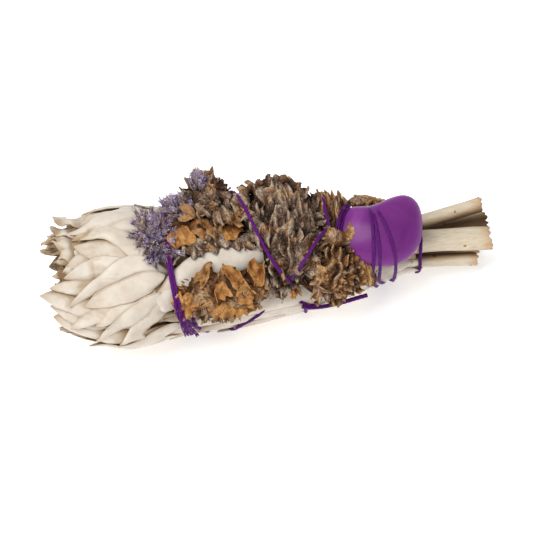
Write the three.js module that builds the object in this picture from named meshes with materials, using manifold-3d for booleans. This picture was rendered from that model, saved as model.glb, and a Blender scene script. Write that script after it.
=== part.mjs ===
// A sage smudge stick. Five sprigs of dried white sage are tied into one tapered bundle, leaf tips at -X and
// cut stems at +X. Dried flower heads, papery petals, lavender sprays and a tumbled stone lie along its upper
// side, all held by one long violet thread. Millimetres, +Z up, lying on its belly on the plane z = 0.

import * as THREE from "three";
import { mergeVertices } from "three/addons/utils/BufferGeometryUtils.js";
import Module from "manifold-3d";

const wasm = await Module();
wasm.setup();

// Driving dimensions: the leafy bundle's radius along its length, from the leaf tips to the cut stems.
const BUNDLE_RADII = [
  [-60, 12.8],
  [-54, 14.4],
  [-44, 16.0],
  [-31, 17.5],
  [-17, 17.3],
  [-4, 16.2],
  [9, 14.5],
  [22, 11.6],
  [31, 9.4],
  [40, 7.9],
  [60, 7.9],
];
const SECTION_WIDE = 1.07; // the soft bundle sags a little: wider than it is tall
const SECTION_TALL = 0.96;
const AXIS_HEIGHT = 13.6; // of the bundle's axis above the table, at x = AXIS_AT
const AXIS_AT = -10;
const AXIS_FALL = 0.089; // drop of the axis per millimetre towards the stems
const LEAF_LAYER = 1.0; // the outermost leaves stand this far out of BUNDLE_RADII
const THREAD_RADIUS = 0.48;
const THREAD_SIDES = 5;
const THREAD_STEP_DEG = 20;
const CLEARANCE = 0.25; // left between separate pieces

// Angles go round the axis in degrees: 0 is +Y, 90 is up, 180 is -Y, 270 is down.
const radians = THREE.MathUtils.degToRad;
const mix = THREE.MathUtils.lerp;
const smooth = (t) => THREE.MathUtils.smoothstep(t, 0, 1);

// The same seed always gives the same draws, each from 0 to 1.
function drawsFrom(seed) {
  let state = seed * 7919 + 13;
  return () => {
    state = (state * 16807) % 2147483647;
    return state / 2147483647;
  };
}

// The bundle's radius at x, eased between the listed stations.
function bundleRadius(x) {
  const rows = BUNDLE_RADII;
  let i = 0;
  while (i < rows.length - 2 && x > rows[i + 1][0]) i++;
  const slope = (a, b) => (rows[b][1] - rows[a][1]) / (rows[b][0] - rows[a][0]);
  const span = rows[i + 1][0] - rows[i][0];
  const before = slope(Math.max(i - 1, 0), i + 1) * span;
  const after = slope(i, Math.min(i + 2, rows.length - 1)) * span;
  const t = THREE.MathUtils.clamp((x - rows[i][0]) / span, 0, 1);
  const risen = t * t * (3 - 2 * t);
  const starts = t * (1 - t) * (1 - t);
  const ends = t * t * (t - 1);
  return mix(rows[i][1], rows[i + 1][1], risen) + before * starts + after * ends;
}

const axisHeight = (x) => AXIS_HEIGHT - AXIS_FALL * (x - AXIS_AT);

// The point at a distance from the bundle's axis.
function around(x, degrees, distance) {
  const a = radians(degrees);
  const y = distance * SECTION_WIDE * Math.cos(a);
  return new THREE.Vector3(x, y, axisHeight(x) + distance * SECTION_TALL * Math.sin(a));
}

// The point at a height over the leaf layer: along is millimetres towards the stems, arc is round the bundle.
function overLeaves(place, along, arc, height) {
  const x = place.x + along;
  const reach = bundleRadius(place.x) + LEAF_LAYER;
  const degrees = place.angle + THREE.MathUtils.radToDeg(arc / reach);
  return around(x, degrees, bundleRadius(x) + LEAF_LAYER + height);
}

// Solids
function solidOf(points, triangles) {
  const geometry = new THREE.BufferGeometry().setFromPoints(points);
  geometry.setIndex(triangles);
  return solidFrom(geometry);
}

function solidFrom(geometry) {
  geometry.deleteAttribute("normal");
  geometry.deleteAttribute("uv");
  const merged = mergeVertices(geometry, 1e-4);
  const kept = [];
  const index = merged.index.array;
  for (let i = 0; i < index.length; i += 3) {
    const [a, b, c] = [index[i], index[i + 1], index[i + 2]];
    if (a !== b && b !== c && a !== c) kept.push(a, b, c);
  }
  const made = new wasm.Manifold(
    new wasm.Mesh({
      numProp: 3,
      vertProperties: merged.attributes.position.array,
      triVerts: new Uint32Array(kept),
    }),
  );
  if (made.volume() > 0) return made;
  const turned = kept.map((_, i) => kept[i - (i % 3) + [0, 2, 1][i % 3]]);
  return new wasm.Manifold(
    new wasm.Mesh({
      numProp: 3,
      vertProperties: merged.attributes.position.array,
      triVerts: new Uint32Array(turned),
    }),
  );
}

const joined = (solids) => solids.reduce((sum, solid) => sum.add(solid));

// A boolean can leave loose scraps, and only the largest body is the piece.
function largestBody(solid) {
  const bodies = solid.decompose();
  return bodies.reduce((best, body) => (body.volume() > best.volume() ? body : best));
}

// A closed skin over rings of points, with a point at each end.
function loft(start, rings, end) {
  const points = [start, ...rings.flat(), end];
  const sides = rings[0].length;
  const triangles = [];
  const at = (ring, side) => 1 + ring * sides + (side % sides);
  for (let side = 0; side < sides; side++) {
    triangles.push(0, at(0, side + 1), at(0, side));
    triangles.push(points.length - 1, at(rings.length - 1, side), at(rings.length - 1, side + 1));
    for (let ring = 0; ring < rings.length - 1; ring++) {
      const [a, b] = [at(ring, side), at(ring, side + 1)];
      const [c, d] = [at(ring + 1, side), at(ring + 1, side + 1)];
      triangles.push(a, b, d, a, d, c);
    }
  }
  return solidOf(points, triangles);
}

// White sage sprigs: each is one stem with its own leaves, pressed into its share of the round. The first is
// pressed narrow under the others' weight, so that the two beside it rest on the table too.
const SPRIGS = [
  { middle: 270, sector: 48 },
  { middle: 336, sector: 84 },
  { middle: 54, sector: 72 },
  { middle: 126, sector: 72 },
  { middle: 204, sector: 84 },
];
const CORE_SHARE = 0.86; // of the bundle's radius that the packed inner leaves fill
const CORE_FROM = -47;
const CORE_TO = 37;
const CORE_STATIONS = [-47, -38, -24, -8, 8, 22, 37];
const LEAF_STATIONS = [0.26, 0.62, 0.9];
const LEAF_WIDTHS = [0.84, 1, 0.6]; // share of the full width at each station

// Rings of leaves from the inside out: where their tips and bases lie, how far out, and how many a sprig has.
// They fan out from the sprig's stem: spread is a ring's reach to each side as a share of half the sector.
const LEAF_RINGS = [
  { tip: -57, base: -34, layer: 0.62, width: 8, thick: 1.2, each: 2, shift: 0.0, spread: 0.44 },
  { tip: -57, base: -30, layer: 0.84, width: 8, thick: 1.4, each: 3, shift: 0.1, spread: 0.74 },
  { tip: -54, base: -24, layer: 0.96, width: 8.4, thick: 1.6, each: 3, shift: -0.12, spread: 0.76 },
  { tip: -42, base: -12, layer: 1.01, width: 8.6, thick: 1.6, each: 3, shift: 0.12, spread: 0.72 },
  { tip: -29, base: 20, layer: 1.0, width: 14, thick: 1.2, each: 2, shift: -0.06, spread: 0.42 },
  { tip: 2, base: 39, layer: 1.0, width: 11, thick: 1.1, each: 2, shift: 0.08, spread: 0.4 },
];
const LEAF_FAN = 0.55; // share of its final angle off the sprig's middle that a leaf has at its base

// Keeps an angle inside its sprig's share of the round, with the gap that separate pieces need.
function inSector(degrees, sprig, distance) {
  const half = sprig.sector / 2 - THREE.MathUtils.radToDeg(CLEARANCE / 2 / Math.max(distance, 1));
  const soft = 0.82;
  const t = (degrees - sprig.middle) / half;
  const over = Math.abs(t) - soft;
  if (over <= 0) return degrees;
  return sprig.middle + half * Math.sign(t) * (soft + (1 - soft) * Math.tanh(over / (1 - soft)) * 0.99);
}

// One lance-shaped leaf lying on the bundle, arched across and along, its section a flat diamond.
function sageLeaf(sprig, { tip, base, offset, width, thick, layer, lift, tuck }) {
  const line = (s) => {
    const x = mix(base, tip, s);
    const rise = smooth(Math.min(1, s / 0.45));
    const shell = bundleRadius(x) * layer;
    const root = bundleRadius(base) * Math.min(layer, CORE_SHARE - 0.06);
    const distance = mix(Math.min(root, shell), shell, rise) + lift * s * s * s;
    return { x, distance, degrees: sprig.middle + offset * mix(LEAF_FAN, 1, s) };
  };
  const point = (s, across, out) => {
    const { x, distance, degrees } = line(s);
    const turned = degrees + THREE.MathUtils.radToDeg(across / distance);
    const tucked = (tuck * across) / width;
    return around(x, inSector(turned, sprig, distance), distance + out + tucked);
  };
  const rings = LEAF_STATIONS.map((s, i) => {
    const half = (width * LEAF_WIDTHS[i]) / 2;
    return [point(s, -half, -0.2), point(s, 0, thick / 2), point(s, half, -0.2), point(s, 0, -thick / 2)];
  });
  return loft(point(0, 0, 0), rings, point(1, 0, 0));
}

// The packed inner leaves of one sprig, a blunt wedge.
function sprigCore(sprig) {
  const half = sprig.sector / 2;
  const share = [-1, -0.5, 0, 0.5, 1];
  const rings = CORE_STATIONS.map((x) => {
    const distance = bundleRadius(x) * CORE_SHARE * (x === CORE_FROM ? 0.72 : 1);
    const gap = THREE.MathUtils.radToDeg(CLEARANCE / 2 / distance);
    const rim = share.map((t) => around(x, sprig.middle + t * (half - gap), distance));
    return [...rim, around(x, sprig.middle, CLEARANCE)];
  });
  const middle = (x) => around(x, sprig.middle, bundleRadius(x) * 0.4);
  return loft(middle(CORE_FROM - 2), rings, middle(CORE_TO + 1));
}

// Cut stems: where each ends, how thick it is, and how far it leans out of the bundle at its cut end.
const STEM_STARTS = 18;
const STEM_LEAVES_AT = 40;
const STEM_SIDES = 7;
const STEMS = [
  { ends: 56.5, radius: 1.9, distance: 4.9, leans: 0.2, turns: 0 }, // below
  { ends: 60.0, radius: 2.1, distance: 4.9, leans: 1.1, turns: 8 }, // behind
  { ends: 57.2, radius: 1.9, distance: 5.0, leans: 2.9, turns: -4 }, // top
  { ends: 59.0, radius: 3.0, distance: 5.3, leans: 0.7, turns: 13 }, // facing the viewer
  { ends: 54.4, radius: 1.8, distance: 5.1, leans: 1.1, turns: -2 }, // low front
];

function sprigStem(sprig, k) {
  const { ends, radius, distance, leans, turns } = STEMS[k];
  const draw = drawsFrom(60 + k);
  const stations = [STEM_STARTS, 30, STEM_LEAVES_AT, (STEM_LEAVES_AT + ends) / 2, ends];
  const rings = stations.map((x) => {
    const out = Math.max(0, x - STEM_LEAVES_AT) / (ends - STEM_LEAVES_AT);
    const middle = around(x, sprig.middle + turns * out, distance + leans * out);
    return Array.from({ length: STEM_SIDES }, (_, side) => {
      const a = (side / STEM_SIDES) * 2 * Math.PI;
      const ragged = x === ends ? (draw() - 0.5) * 1.6 : 0;
      const girth = radius * (0.94 + 0.1 * draw());
      return middle.clone().add(new THREE.Vector3(ragged, girth * Math.cos(a), girth * Math.sin(a)));
    });
  });
  const pith = around(ends, sprig.middle + turns, distance + leans).add(new THREE.Vector3(-0.8, 0, 0));
  return loft(around(STEM_STARTS - 1, sprig.middle, distance), rings, pith);
}

function sageSprig(sprig, k) {
  const pieces = [sprigCore(sprig), sprigStem(sprig, k)];
  LEAF_RINGS.forEach((ring, r) => {
    const draw = drawsFrom(100 + 10 * k + r);
    for (let i = 0; i < ring.each; i++) {
      const row = ring.each > 1 ? (2 * i) / (ring.each - 1) - 1 : 0;
      const share = row * ring.spread + ring.shift + (draw() - 0.5) * 0.12;
      pieces.push(
        sageLeaf(sprig, {
          tip: ring.tip + (draw() - 0.5) * 6,
          base: ring.base,
          offset: (share * sprig.sector) / 2,
          width: ring.width * (0.88 + 0.24 * draw()),
          thick: ring.thick,
          layer: ring.layer,
          lift: 0.5 * draw(),
          tuck: 1.1 * (draw() > 0.3 ? 1 : -1),
        }),
      );
    }
  });
  return joined(pieces);
}

// Dried flower heads: curled bracts crowded over a small core, which they hide.
const FLOWER_HEADS = [
  { name: "flower_head_left", x: -14.2, angle: 72, long: 15, wide: 15, high: 8.0, sweep: 20, bracts: 24 },
  { name: "flower_head_fringe", x: -17, angle: 114, long: 23, wide: 5, high: 2.6, sweep: 170, bracts: 16 },
  { name: "flower_head_centre", x: 2.4, angle: 98, long: 20, wide: 26, high: 9.2, sweep: -60, bracts: 36 },
  { name: "flower_head_right", x: 12.5, angle: 144, long: 22, wide: 14, high: 5.2, sweep: -20, bracts: 27 },
  { name: "flower_head_upper", x: 16, angle: 89, long: 8, wide: 12, high: 4.6, sweep: -80, bracts: 14 },
  { name: "flower_head_by_stone", x: 28, angle: 55, long: 14, wide: 4.6, high: 3.2, sweep: 0, bracts: 9 },
];
const CORE_SIDES = 10;
const CORE_SHARE_HIGH = 0.66; // of a head's height that its core fills
const UNDERSIDE = 0.5; // the underside clears the leaf layer
const GOLDEN = 2.39996; // the golden angle spreads copies evenly over a round
const SPREAD = 0.76; // share of a head's footprint that its copies are rooted in

// A low blunt core, flat against the leaves.
function flowerCore(head, share) {
  const at = (reach, side, height) => {
    const a = (side / CORE_SIDES) * 2 * Math.PI;
    const [along, arc] = [(reach * Math.cos(a) * head.long) / 2, (reach * Math.sin(a) * head.wide) / 2];
    return overLeaves(head, along, arc, UNDERSIDE + height);
  };
  const ring = (reach, height) => Array.from({ length: CORE_SIDES }, (_, side) => at(reach, side, height));
  const high = head.high * share;
  return loft(at(0, 0, high), [ring(0.48, high * 0.86), ring(0.84, high * 0.42), ring(0.8, 0)], at(0, 0, 0));
}

// A small curled blade rooted at a spot on a core: lean is its direction over the leaves, curl how it rises.
function bract(place, [along, arc, height], lean, { length, width, thick, curl }) {
  const at = (s, across, out) => {
    const run = length * s * Math.cos(curl * s);
    const a = along + Math.cos(lean) * run - Math.sin(lean) * across;
    const b = arc + Math.sin(lean) * run + Math.cos(lean) * across;
    return overLeaves(place, a, b, Math.max(UNDERSIDE, height + length * s * Math.sin(curl * s) + out));
  };
  const ring = [at(0.6, -width / 2, 0.3), at(0.6, 0, thick / 2), at(0.6, width / 2, 0.3), at(0.6, 0, -thick / 2)];
  return loft(at(0, 0, 0), [ring], at(1, 0, 0));
}

// The spots where copies sit, spread over a core from its crown to its rim.
function spotsOver(head, count, share) {
  return Array.from({ length: count }, (_, i) => {
    const reach = Math.sqrt((i + 0.5) / count);
    const a = GOLDEN * i;
    const along = (SPREAD * reach * Math.cos(a) * head.long) / 2;
    const arc = (SPREAD * reach * Math.sin(a) * head.wide) / 2;
    const skin = head.high * share * (1 - 0.55 * reach * reach);
    return { reach, a, spot: [along, arc, UNDERSIDE + skin - 0.8] };
  });
}

function flowerHead(head, index) {
  const draw = drawsFrom(300 + index);
  const pieces = [flowerCore(head, CORE_SHARE_HIGH)];
  const size = Math.min(1, 0.45 + head.wide / 26);
  for (const { reach, a, spot } of spotsOver(head, head.bracts, CORE_SHARE_HIGH)) {
    // Outer bracts lean out, inner ones lean with the head's sweep and stand up.
    const outward = [Math.cos(a) * reach * 1.4, Math.sin(a) * reach * 1.4];
    const swept = [Math.cos(radians(head.sweep)), Math.sin(radians(head.sweep))];
    const lean = Math.atan2(outward[1] + swept[1] * 0.6, outward[0] + swept[0] * 0.6) + (draw() - 0.5) * 0.8;
    pieces.push(
      bract(head, spot, lean, {
        length: size * (4.2 + 1.6 * draw()),
        width: size * (2.8 + 1.4 * draw()),
        thick: 1.2,
        curl: mix(1.25, 0.35, reach) + 0.3 * (draw() - 0.5),
      }),
    );
  }
  return joined(pieces);
}

// Papery ochre petals, loosely heaped and joined at their feet.
const PETAL_HEAPS = [
  { name: "ochre_petals_upper", x: -17.5, angle: 99, long: 20, wide: 5.6, high: 3.6, petals: 15 },
  { name: "ochre_petals_lower", x: -17, angle: 149, long: 26, wide: 13, high: 3.4, petals: 24 },
];

function petalHeap(heap, index) {
  const draw = drawsFrom(400 + index);
  const pieces = [flowerCore(heap, 0.4)];
  for (const { reach, a, spot } of spotsOver(heap, heap.petals, 0.4)) {
    pieces.push(
      bract(heap, spot, a + (draw() - 0.5) * 2.4, {
        length: 4 + 2.4 * draw(),
        width: 3.6 + 2 * draw(),
        thick: 1.0,
        curl: mix(0.9, 0.4, reach) * (0.7 + 0.6 * draw()),
      }),
    );
  }
  return joined(pieces);
}

// Lavender sprays: small pointed florets crowded over a short core.
const LAVENDER_SPRAYS = [
  { name: "lavender_spray_front", x: -31.5, angle: 95, long: 9.5, wide: 15, high: 4.4, florets: 27 },
  { name: "lavender_spray_top", x: -20, angle: 58, long: 13, wide: 8, high: 7.8, florets: 22 },
];
const FLORET_GIRTH = 0.8;

function floret(place, [along, arc, height], leanAlong, leanArc, length) {
  const at = (s, a, b) => overLeaves(place, along + leanAlong * s + a, arc + leanArc * s + b, height + s * length);
  const ring = [0, 1, 2, 3].map((i) => {
    const a = (i * Math.PI) / 2;
    return at(0.6, FLORET_GIRTH * Math.cos(a), FLORET_GIRTH * Math.sin(a));
  });
  return loft(at(1, 0, 0), [ring], at(0, 0, 0));
}

function lavenderSpray(spray, index) {
  const draw = drawsFrom(500 + index);
  const pieces = [flowerCore(spray, 0.42)];
  for (const { reach, a, spot } of spotsOver(spray, spray.florets, 0.42)) {
    const spread = 2 * reach;
    pieces.push(floret(spray, spot, spread * Math.cos(a), spread * Math.sin(a), 2.8 + 1.4 * draw()));
  }
  return joined(pieces);
}

// The tumbled stone: a smooth kidney with a notch in its upper edge, where the thread crosses.
const STONE = { x: 26.8, angle: 114, length: 23.0, width: 18.6, thick: 11.0, sink: 1.0 };
const STONE_NOTCH = { at: -2.2, deep: 1.7, wide: 2.6 };
const STONE_TAPER = 0.2; // the end towards the leaves is the narrower one

function stone(grow) {
  const ball = new THREE.SphereGeometry(1, 18, 9);
  const facing = radians(STONE.angle);
  const out = new THREE.Vector3(0, Math.cos(facing), Math.sin(facing));
  const up = new THREE.Vector3(0, Math.sin(facing), -Math.cos(facing));
  const distance = bundleRadius(STONE.x) + LEAF_LAYER - STONE.sink + STONE.thick / 2;
  const centre = around(STONE.x, STONE.angle, distance);
  const spot = ball.attributes.position;
  for (let i = 0; i < spot.count; i++) {
    const [u, v, w] = [spot.getX(i), spot.getZ(i), spot.getY(i)];
    const long = (u * STONE.length) / 2;
    const notch = STONE_NOTCH.deep * Math.exp(-(((long - STONE_NOTCH.at) / STONE_NOTCH.wide) ** 2));
    const tall = v * (STONE.width / 2) * (1 + STONE_TAPER * u) - notch * Math.max(0, v) + 0.5 * u;
    const deep = w * (STONE.thick / 2) * (1 + 0.08 * u);
    const p = centre.clone();
    p.x += long * grow;
    p.addScaledVector(up, tall * grow).addScaledVector(out, deep * grow);
    spot.setXYZ(i, p.x, p.y, p.z);
  }
  return solidFrom(ball);
}

// The thread's route, chosen by eye: [x, degrees], round and round the bundle from the knot under the stone.
const THREAD_ROUTE = [
  // up the far side, then down over the middle of the flowers
  [30, 202], [31, 270], [30, 330], [27, 385], [22.9, 429], [16.2, 460], [10.6, 473], [5.5, 486], [-0.4, 504],
  [-6.4, 521], [-9.1, 536], [-12.6, 546], [-17, 600], [-21, 680], [-24, 740], [-25, 774],
  // twice round the leafy end
  [-27, 785], [-28.4, 810], [-30, 842], [-29.9, 865], [-29.2, 883], [-27, 902], [-25, 930], [-24, 990],
  [-23.6, 1050], [-23.6, 1110], [-23.9, 1134], [-25.8, 1147], [-27.2, 1170], [-28.7, 1202], [-28.6, 1225],
  [-28, 1243], [-25.2, 1263], [-22, 1285], [-17, 1330],
  // back across the middle, the other way
  [-13, 1390], [-10, 1450], [-8.4, 1516], [-7.6, 1536], [-5.4, 1558], [-1.8, 1577], [1.2, 1589], [3, 1605],
  [4.5, 1622], [7, 1680], [10, 1750], [13, 1810],
  // down beside the stone
  [15, 1866], [13.6, 1890], [13.2, 1908], [13.8, 1921], [17, 1945], [22, 1968], [25.6, 2000], [27.5, 2060],
  [27.6, 2120], [27.4, 2190],
  // three times over the stone, from its notch
  [26.8, 2240], [26.4, 2256], [23.6, 2274], [22, 2286], [23.2, 2304], [26, 2335], [28.6, 2365], [29.2, 2420],
  [28.8, 2480], [28, 2550],
  [27.6, 2606], [25.9, 2625], [25, 2642], [25.4, 2660], [28, 2690], [30.2, 2725], [30.8, 2790], [30.2, 2850],
  [29.4, 2910],
  [28.8, 2966], [29.8, 2992], [30, 3010], [30.2, 3035], [32, 3080], [34.5, 3140], [37, 3200], [39, 3260],
  // round the stems and back to the knot
  [40, 3320], [39.4, 3360], [38, 3385], [36.8, 3407], [34.6, 3434], [32.4, 3446],
];
const THREAD_RUN = 13; // steps to a closed length: too short to cross itself
// The tail runs back under the stone along the lower front edge, from one knot to the other.
const THREAD_TAIL = [[4.5, 182], [10, 180], [15.7, 177], [22, 172], [28, 177], [31.4, 204]];
const KNOTS = [
  { x: 4.7, angle: 182, radius: 1.2 },
  { x: 31, angle: 205, radius: 1.5 },
  { x: -26.2, angle: 184, radius: 1.2 },
];
const THREAD_BITE = { stone: -0.25, sprig: -0.35, flower: 0.8 }; // how far the thread presses into each

// How far out the pieces reach in one direction from the axis, with the thread's bite into each allowed for.
function reachOf(targets, x, degrees) {
  const outside = around(x, degrees, 45);
  const middle = around(x, degrees, 0);
  const caster = new THREE.Raycaster(outside, middle.clone().sub(outside).normalize());
  let most = 0;
  for (const { mesh, bite } of targets) {
    const [hit] = caster.intersectObject(mesh);
    if (!hit) continue;
    const share = hit.point.distanceTo(middle) / outside.distanceTo(middle);
    most = Math.max(most, 45 * share + THREAD_RADIUS - bite);
  }
  return most;
}

// A taut thread: it spans from one high place to the next and is held out by what lies under it.
function tautRoute(stations, targets) {
  const dense = [];
  for (let i = 0; i < stations.length - 1; i++) {
    const [[x0, d0], [x1, d1]] = [stations[i], stations[i + 1]];
    const steps = Math.max(1, Math.round(Math.abs(d1 - d0) / THREAD_STEP_DEG));
    for (let step = i ? 1 : 0; step <= steps; step++) {
      const t = step / steps;
      dense.push({ x: mix(x0, x1, t), degrees: mix(d0, d1, t) });
    }
  }
  for (const spot of dense) {
    const near = [-0.6, 0, 0.6].flatMap((dx) => [-2, 2].map((dd) => [spot.x + dx, spot.degrees + dd]));
    spot.least = Math.max(...near.map(([x, degrees]) => reachOf(targets, x, degrees)));
    spot.reach = spot.least + 3;
  }
  const placed = (spot) => around(spot.x, spot.degrees, spot.reach);
  for (let pass = 0; pass < 150; pass++) {
    for (let i = 1; i < dense.length - 1; i++) {
      const middle = placed(dense[i - 1]).add(placed(dense[i + 1])).multiplyScalar(0.5);
      const centre = around(dense[i].x, dense[i].degrees, 0);
      const unit = around(dense[i].x, dense[i].degrees, 1).distanceTo(centre);
      dense[i].reach = Math.max(dense[i].least, middle.distanceTo(centre) / unit);
    }
    dense[0].reach = Math.max(dense[0].least, dense[1].reach);
    dense.at(-1).reach = Math.max(dense.at(-1).least, dense.at(-2).reach);
  }
  return dense.map((spot) => {
    const p = placed(spot);
    p.z = Math.max(p.z, THREAD_RADIUS + 0.1);
    return p;
  });
}

// Lengths of thread along a route, each closed, overlapping the next by one step.
function threadLengths(points, radius) {
  const rings = points.map((p, i) => {
    const ahead = points[Math.min(i + 1, points.length - 1)];
    const behind = points[Math.max(i - 1, 0)];
    const along = ahead.clone().sub(behind).normalize();
    const out = p.clone().sub(around(p.x, 0, 0));
    out.addScaledVector(along, -out.dot(along)).normalize();
    const side = along.clone().cross(out);
    return Array.from({ length: THREAD_SIDES }, (_, k) => {
      const a = (k / THREAD_SIDES) * 2 * Math.PI;
      return p.clone().addScaledVector(out, radius * Math.cos(a)).addScaledVector(side, radius * Math.sin(a));
    });
  });
  const lengths = [];
  for (let from = 0; from < points.length - 1; from += THREAD_RUN) {
    const to = Math.min(from + THREAD_RUN + 1, points.length - 1);
    lengths.push(loft(points[from], rings.slice(from, to + 1), points[to]));
  }
  return lengths;
}

function knot({ x, angle, radius }, targets, grow) {
  const reach = reachOf(targets, x, angle) + 0.2;
  const ball = new THREE.SphereGeometry(radius + grow, 7, 5);
  const p = around(x, angle, reach);
  return solidFrom(ball.translate(p.x, p.y, p.z));
}

// The parts put together
function meshOf(name, solid, material) {
  const { numProp, vertProperties, triVerts } = solid.getMesh();
  const points = new Float32Array((vertProperties.length / numProp) * 3);
  for (let i = 0; i < points.length / 3; i++) {
    points.set(vertProperties.subarray(i * numProp, i * numProp + 3), i * 3);
  }
  const geometry = new THREE.BufferGeometry();
  geometry.setAttribute("position", new THREE.BufferAttribute(points, 3));
  geometry.setIndex(new THREE.BufferAttribute(triVerts, 1));
  geometry.computeVertexNormals();
  const mesh = new THREE.Mesh(geometry, material);
  mesh.name = name;
  return mesh;
}

const finish = (color, roughness) => new THREE.MeshStandardMaterial({ color, roughness, metalness: 0 });
const SAGE = finish(0xd9cfc2, 0.95);
const FLOWER = finish(0x8a7563, 0.95);
const OCHRE = finish(0xb98a4a, 0.9);
const LAVENDER = finish(0x8573a3, 0.95);
const STONE_FINISH = finish(0x7d4497, 0.2);
const THREAD = finish(0x5a1596, 0.75);

// Neighbouring flowers are parted by a plane between them, so that no two share any space.
function parted(pieces) {
  return pieces.map((piece, i) => {
    let solid = piece.solid;
    pieces.forEach((other, j) => {
      if (i === j || solid.intersect(other.solid).isEmpty()) return;
      const [a, b] = [piece.middle, other.middle];
      const across = b.clone().sub(a);
      const apart = across.length();
      across.normalize();
      const reach = (p, way) => p.solid.getMesh().vertProperties.reduce((most, _, n, all) => {
        if (n % 3) return most;
        const from = new THREE.Vector3(all[n], all[n + 1], all[n + 2]).sub(p.middle);
        return Math.max(most, from.dot(way));
      }, 0);
      const [mine, theirs] = [reach(piece, across), reach(other, across.clone().negate())];
      const border = a.dot(across) + (apart * mine) / (mine + theirs) - CLEARANCE / 2;
      solid = solid.trimByPlane(across.clone().negate().toArray(), -border);
    });
    return { ...piece, solid: largestBody(solid) };
  });
}

const middleOf = (place) => overLeaves(place, 0, 0, place.high * 0.4);
const stoneSolid = stone(1);
const stoneSeat = stone(1 + CLEARANCE / 5);
const flowers = parted([
  ...FLOWER_HEADS.map((h, i) => ({ ...h, middle: middleOf(h), solid: flowerHead(h, i), finish: FLOWER })),
  ...PETAL_HEAPS.map((h, i) => ({ ...h, middle: middleOf(h), solid: petalHeap(h, i), finish: OCHRE })),
  ...LAVENDER_SPRAYS.map((h, i) => ({ ...h, middle: middleOf(h), solid: lavenderSpray(h, i), finish: LAVENDER })),
]).map((piece) => ({ ...piece, solid: largestBody(piece.solid.subtract(stoneSeat)) }));

const sprigs = SPRIGS.map((sprig, k) => {
  const solid = sageSprig(sprig, k).trimByPlane([0, 0, 1], 0).subtract(stoneSeat);
  return { name: `sage_sprig_${k + 1}`, solid: largestBody(solid), finish: SAGE };
});

const targets = [
  ...sprigs.map((p) => ({ mesh: meshOf(p.name, p.solid, p.finish), bite: THREAD_BITE.sprig })),
  ...flowers.map((p) => ({ mesh: meshOf(p.name, p.solid, p.finish), bite: THREAD_BITE.flower })),
  { mesh: meshOf("stone", stoneSolid, STONE_FINISH), bite: THREAD_BITE.stone },
];
const routes = [THREAD_ROUTE, THREAD_TAIL].map((route) => tautRoute(route, targets));
const threadOf = (grow) =>
  joined([
    ...routes.flatMap((route) => threadLengths(route, THREAD_RADIUS + grow)),
    ...KNOTS.map((k) => knot(k, targets, grow)),
  ]);
const thread = threadOf(0).subtract(stone(1 + 0.01));
const groove = threadOf(CLEARANCE);

const stick = new THREE.Group();
for (const piece of [...sprigs, ...flowers]) {
  stick.add(meshOf(piece.name, largestBody(piece.solid.subtract(groove)), piece.finish));
}
stick.add(meshOf("tumbled_stone", stoneSolid, STONE_FINISH));
stick.add(meshOf("binding_thread", largestBody(thread), THREAD));

// The origin is under the middle of the whole stick, on the table.
const box = new THREE.Box3().setFromObject(stick);
const middle = box.getCenter(new THREE.Vector3());
stick.position.set(-middle.x, -middle.y, -box.min.z);

export default stick;
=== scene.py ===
import math
import random

import bmesh
import bpy
import numpy as np
from mathutils import Matrix, Quaternion, Vector, noise
from mathutils.bvhtree import BVHTree


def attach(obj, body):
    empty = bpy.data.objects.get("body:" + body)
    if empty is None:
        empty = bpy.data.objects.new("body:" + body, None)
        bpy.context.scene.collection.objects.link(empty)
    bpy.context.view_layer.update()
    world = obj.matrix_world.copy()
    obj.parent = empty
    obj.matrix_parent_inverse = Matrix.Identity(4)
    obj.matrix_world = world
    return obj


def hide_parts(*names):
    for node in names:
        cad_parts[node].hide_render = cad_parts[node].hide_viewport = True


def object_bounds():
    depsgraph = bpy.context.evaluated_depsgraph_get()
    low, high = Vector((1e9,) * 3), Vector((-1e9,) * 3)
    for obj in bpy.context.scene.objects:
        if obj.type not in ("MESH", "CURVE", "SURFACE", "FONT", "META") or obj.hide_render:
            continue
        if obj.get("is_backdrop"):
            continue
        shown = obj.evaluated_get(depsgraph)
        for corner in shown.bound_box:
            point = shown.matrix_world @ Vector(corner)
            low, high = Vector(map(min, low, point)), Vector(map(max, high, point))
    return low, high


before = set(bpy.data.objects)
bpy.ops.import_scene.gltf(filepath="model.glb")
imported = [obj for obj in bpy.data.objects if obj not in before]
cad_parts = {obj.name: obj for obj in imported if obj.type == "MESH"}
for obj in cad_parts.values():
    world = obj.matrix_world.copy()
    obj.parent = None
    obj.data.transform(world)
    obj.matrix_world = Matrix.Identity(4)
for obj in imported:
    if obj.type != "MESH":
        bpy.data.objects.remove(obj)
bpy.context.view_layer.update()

MM = 0.001

# ------------------------------------------------------------------------------------------------------------
# The table the stick lies on, and the light
# A wide white sheet under the stick, lit like a product picture: one large soft lamp high on the left, a
# weaker one from the front, and a pale surround. The camera looks down on the flowers from the stick's side.
TURNED = -13.6  # degrees the camera stands to the left of the stick's side
RAISED = 50.0
CAMERA_AWAY = 0.650
PICTURE_WIDE = 0.1392  # width of what the camera sees at the stick
AIM = Vector((0, -0.96, 15.0)) * MM
AIM_RIGHT, AIM_DOWN = 2.48 * MM, -1.70 * MM  # the aim's place in the picture, from its middle


def direction(azimuth, elevation):
    """The way from the stick to a place round it; azimuth 0 is the side of the flowers."""
    a, e = math.radians(azimuth), math.radians(elevation)
    return Vector((math.sin(a) * math.cos(e), -math.cos(a) * math.cos(e), math.sin(e)))


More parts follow.
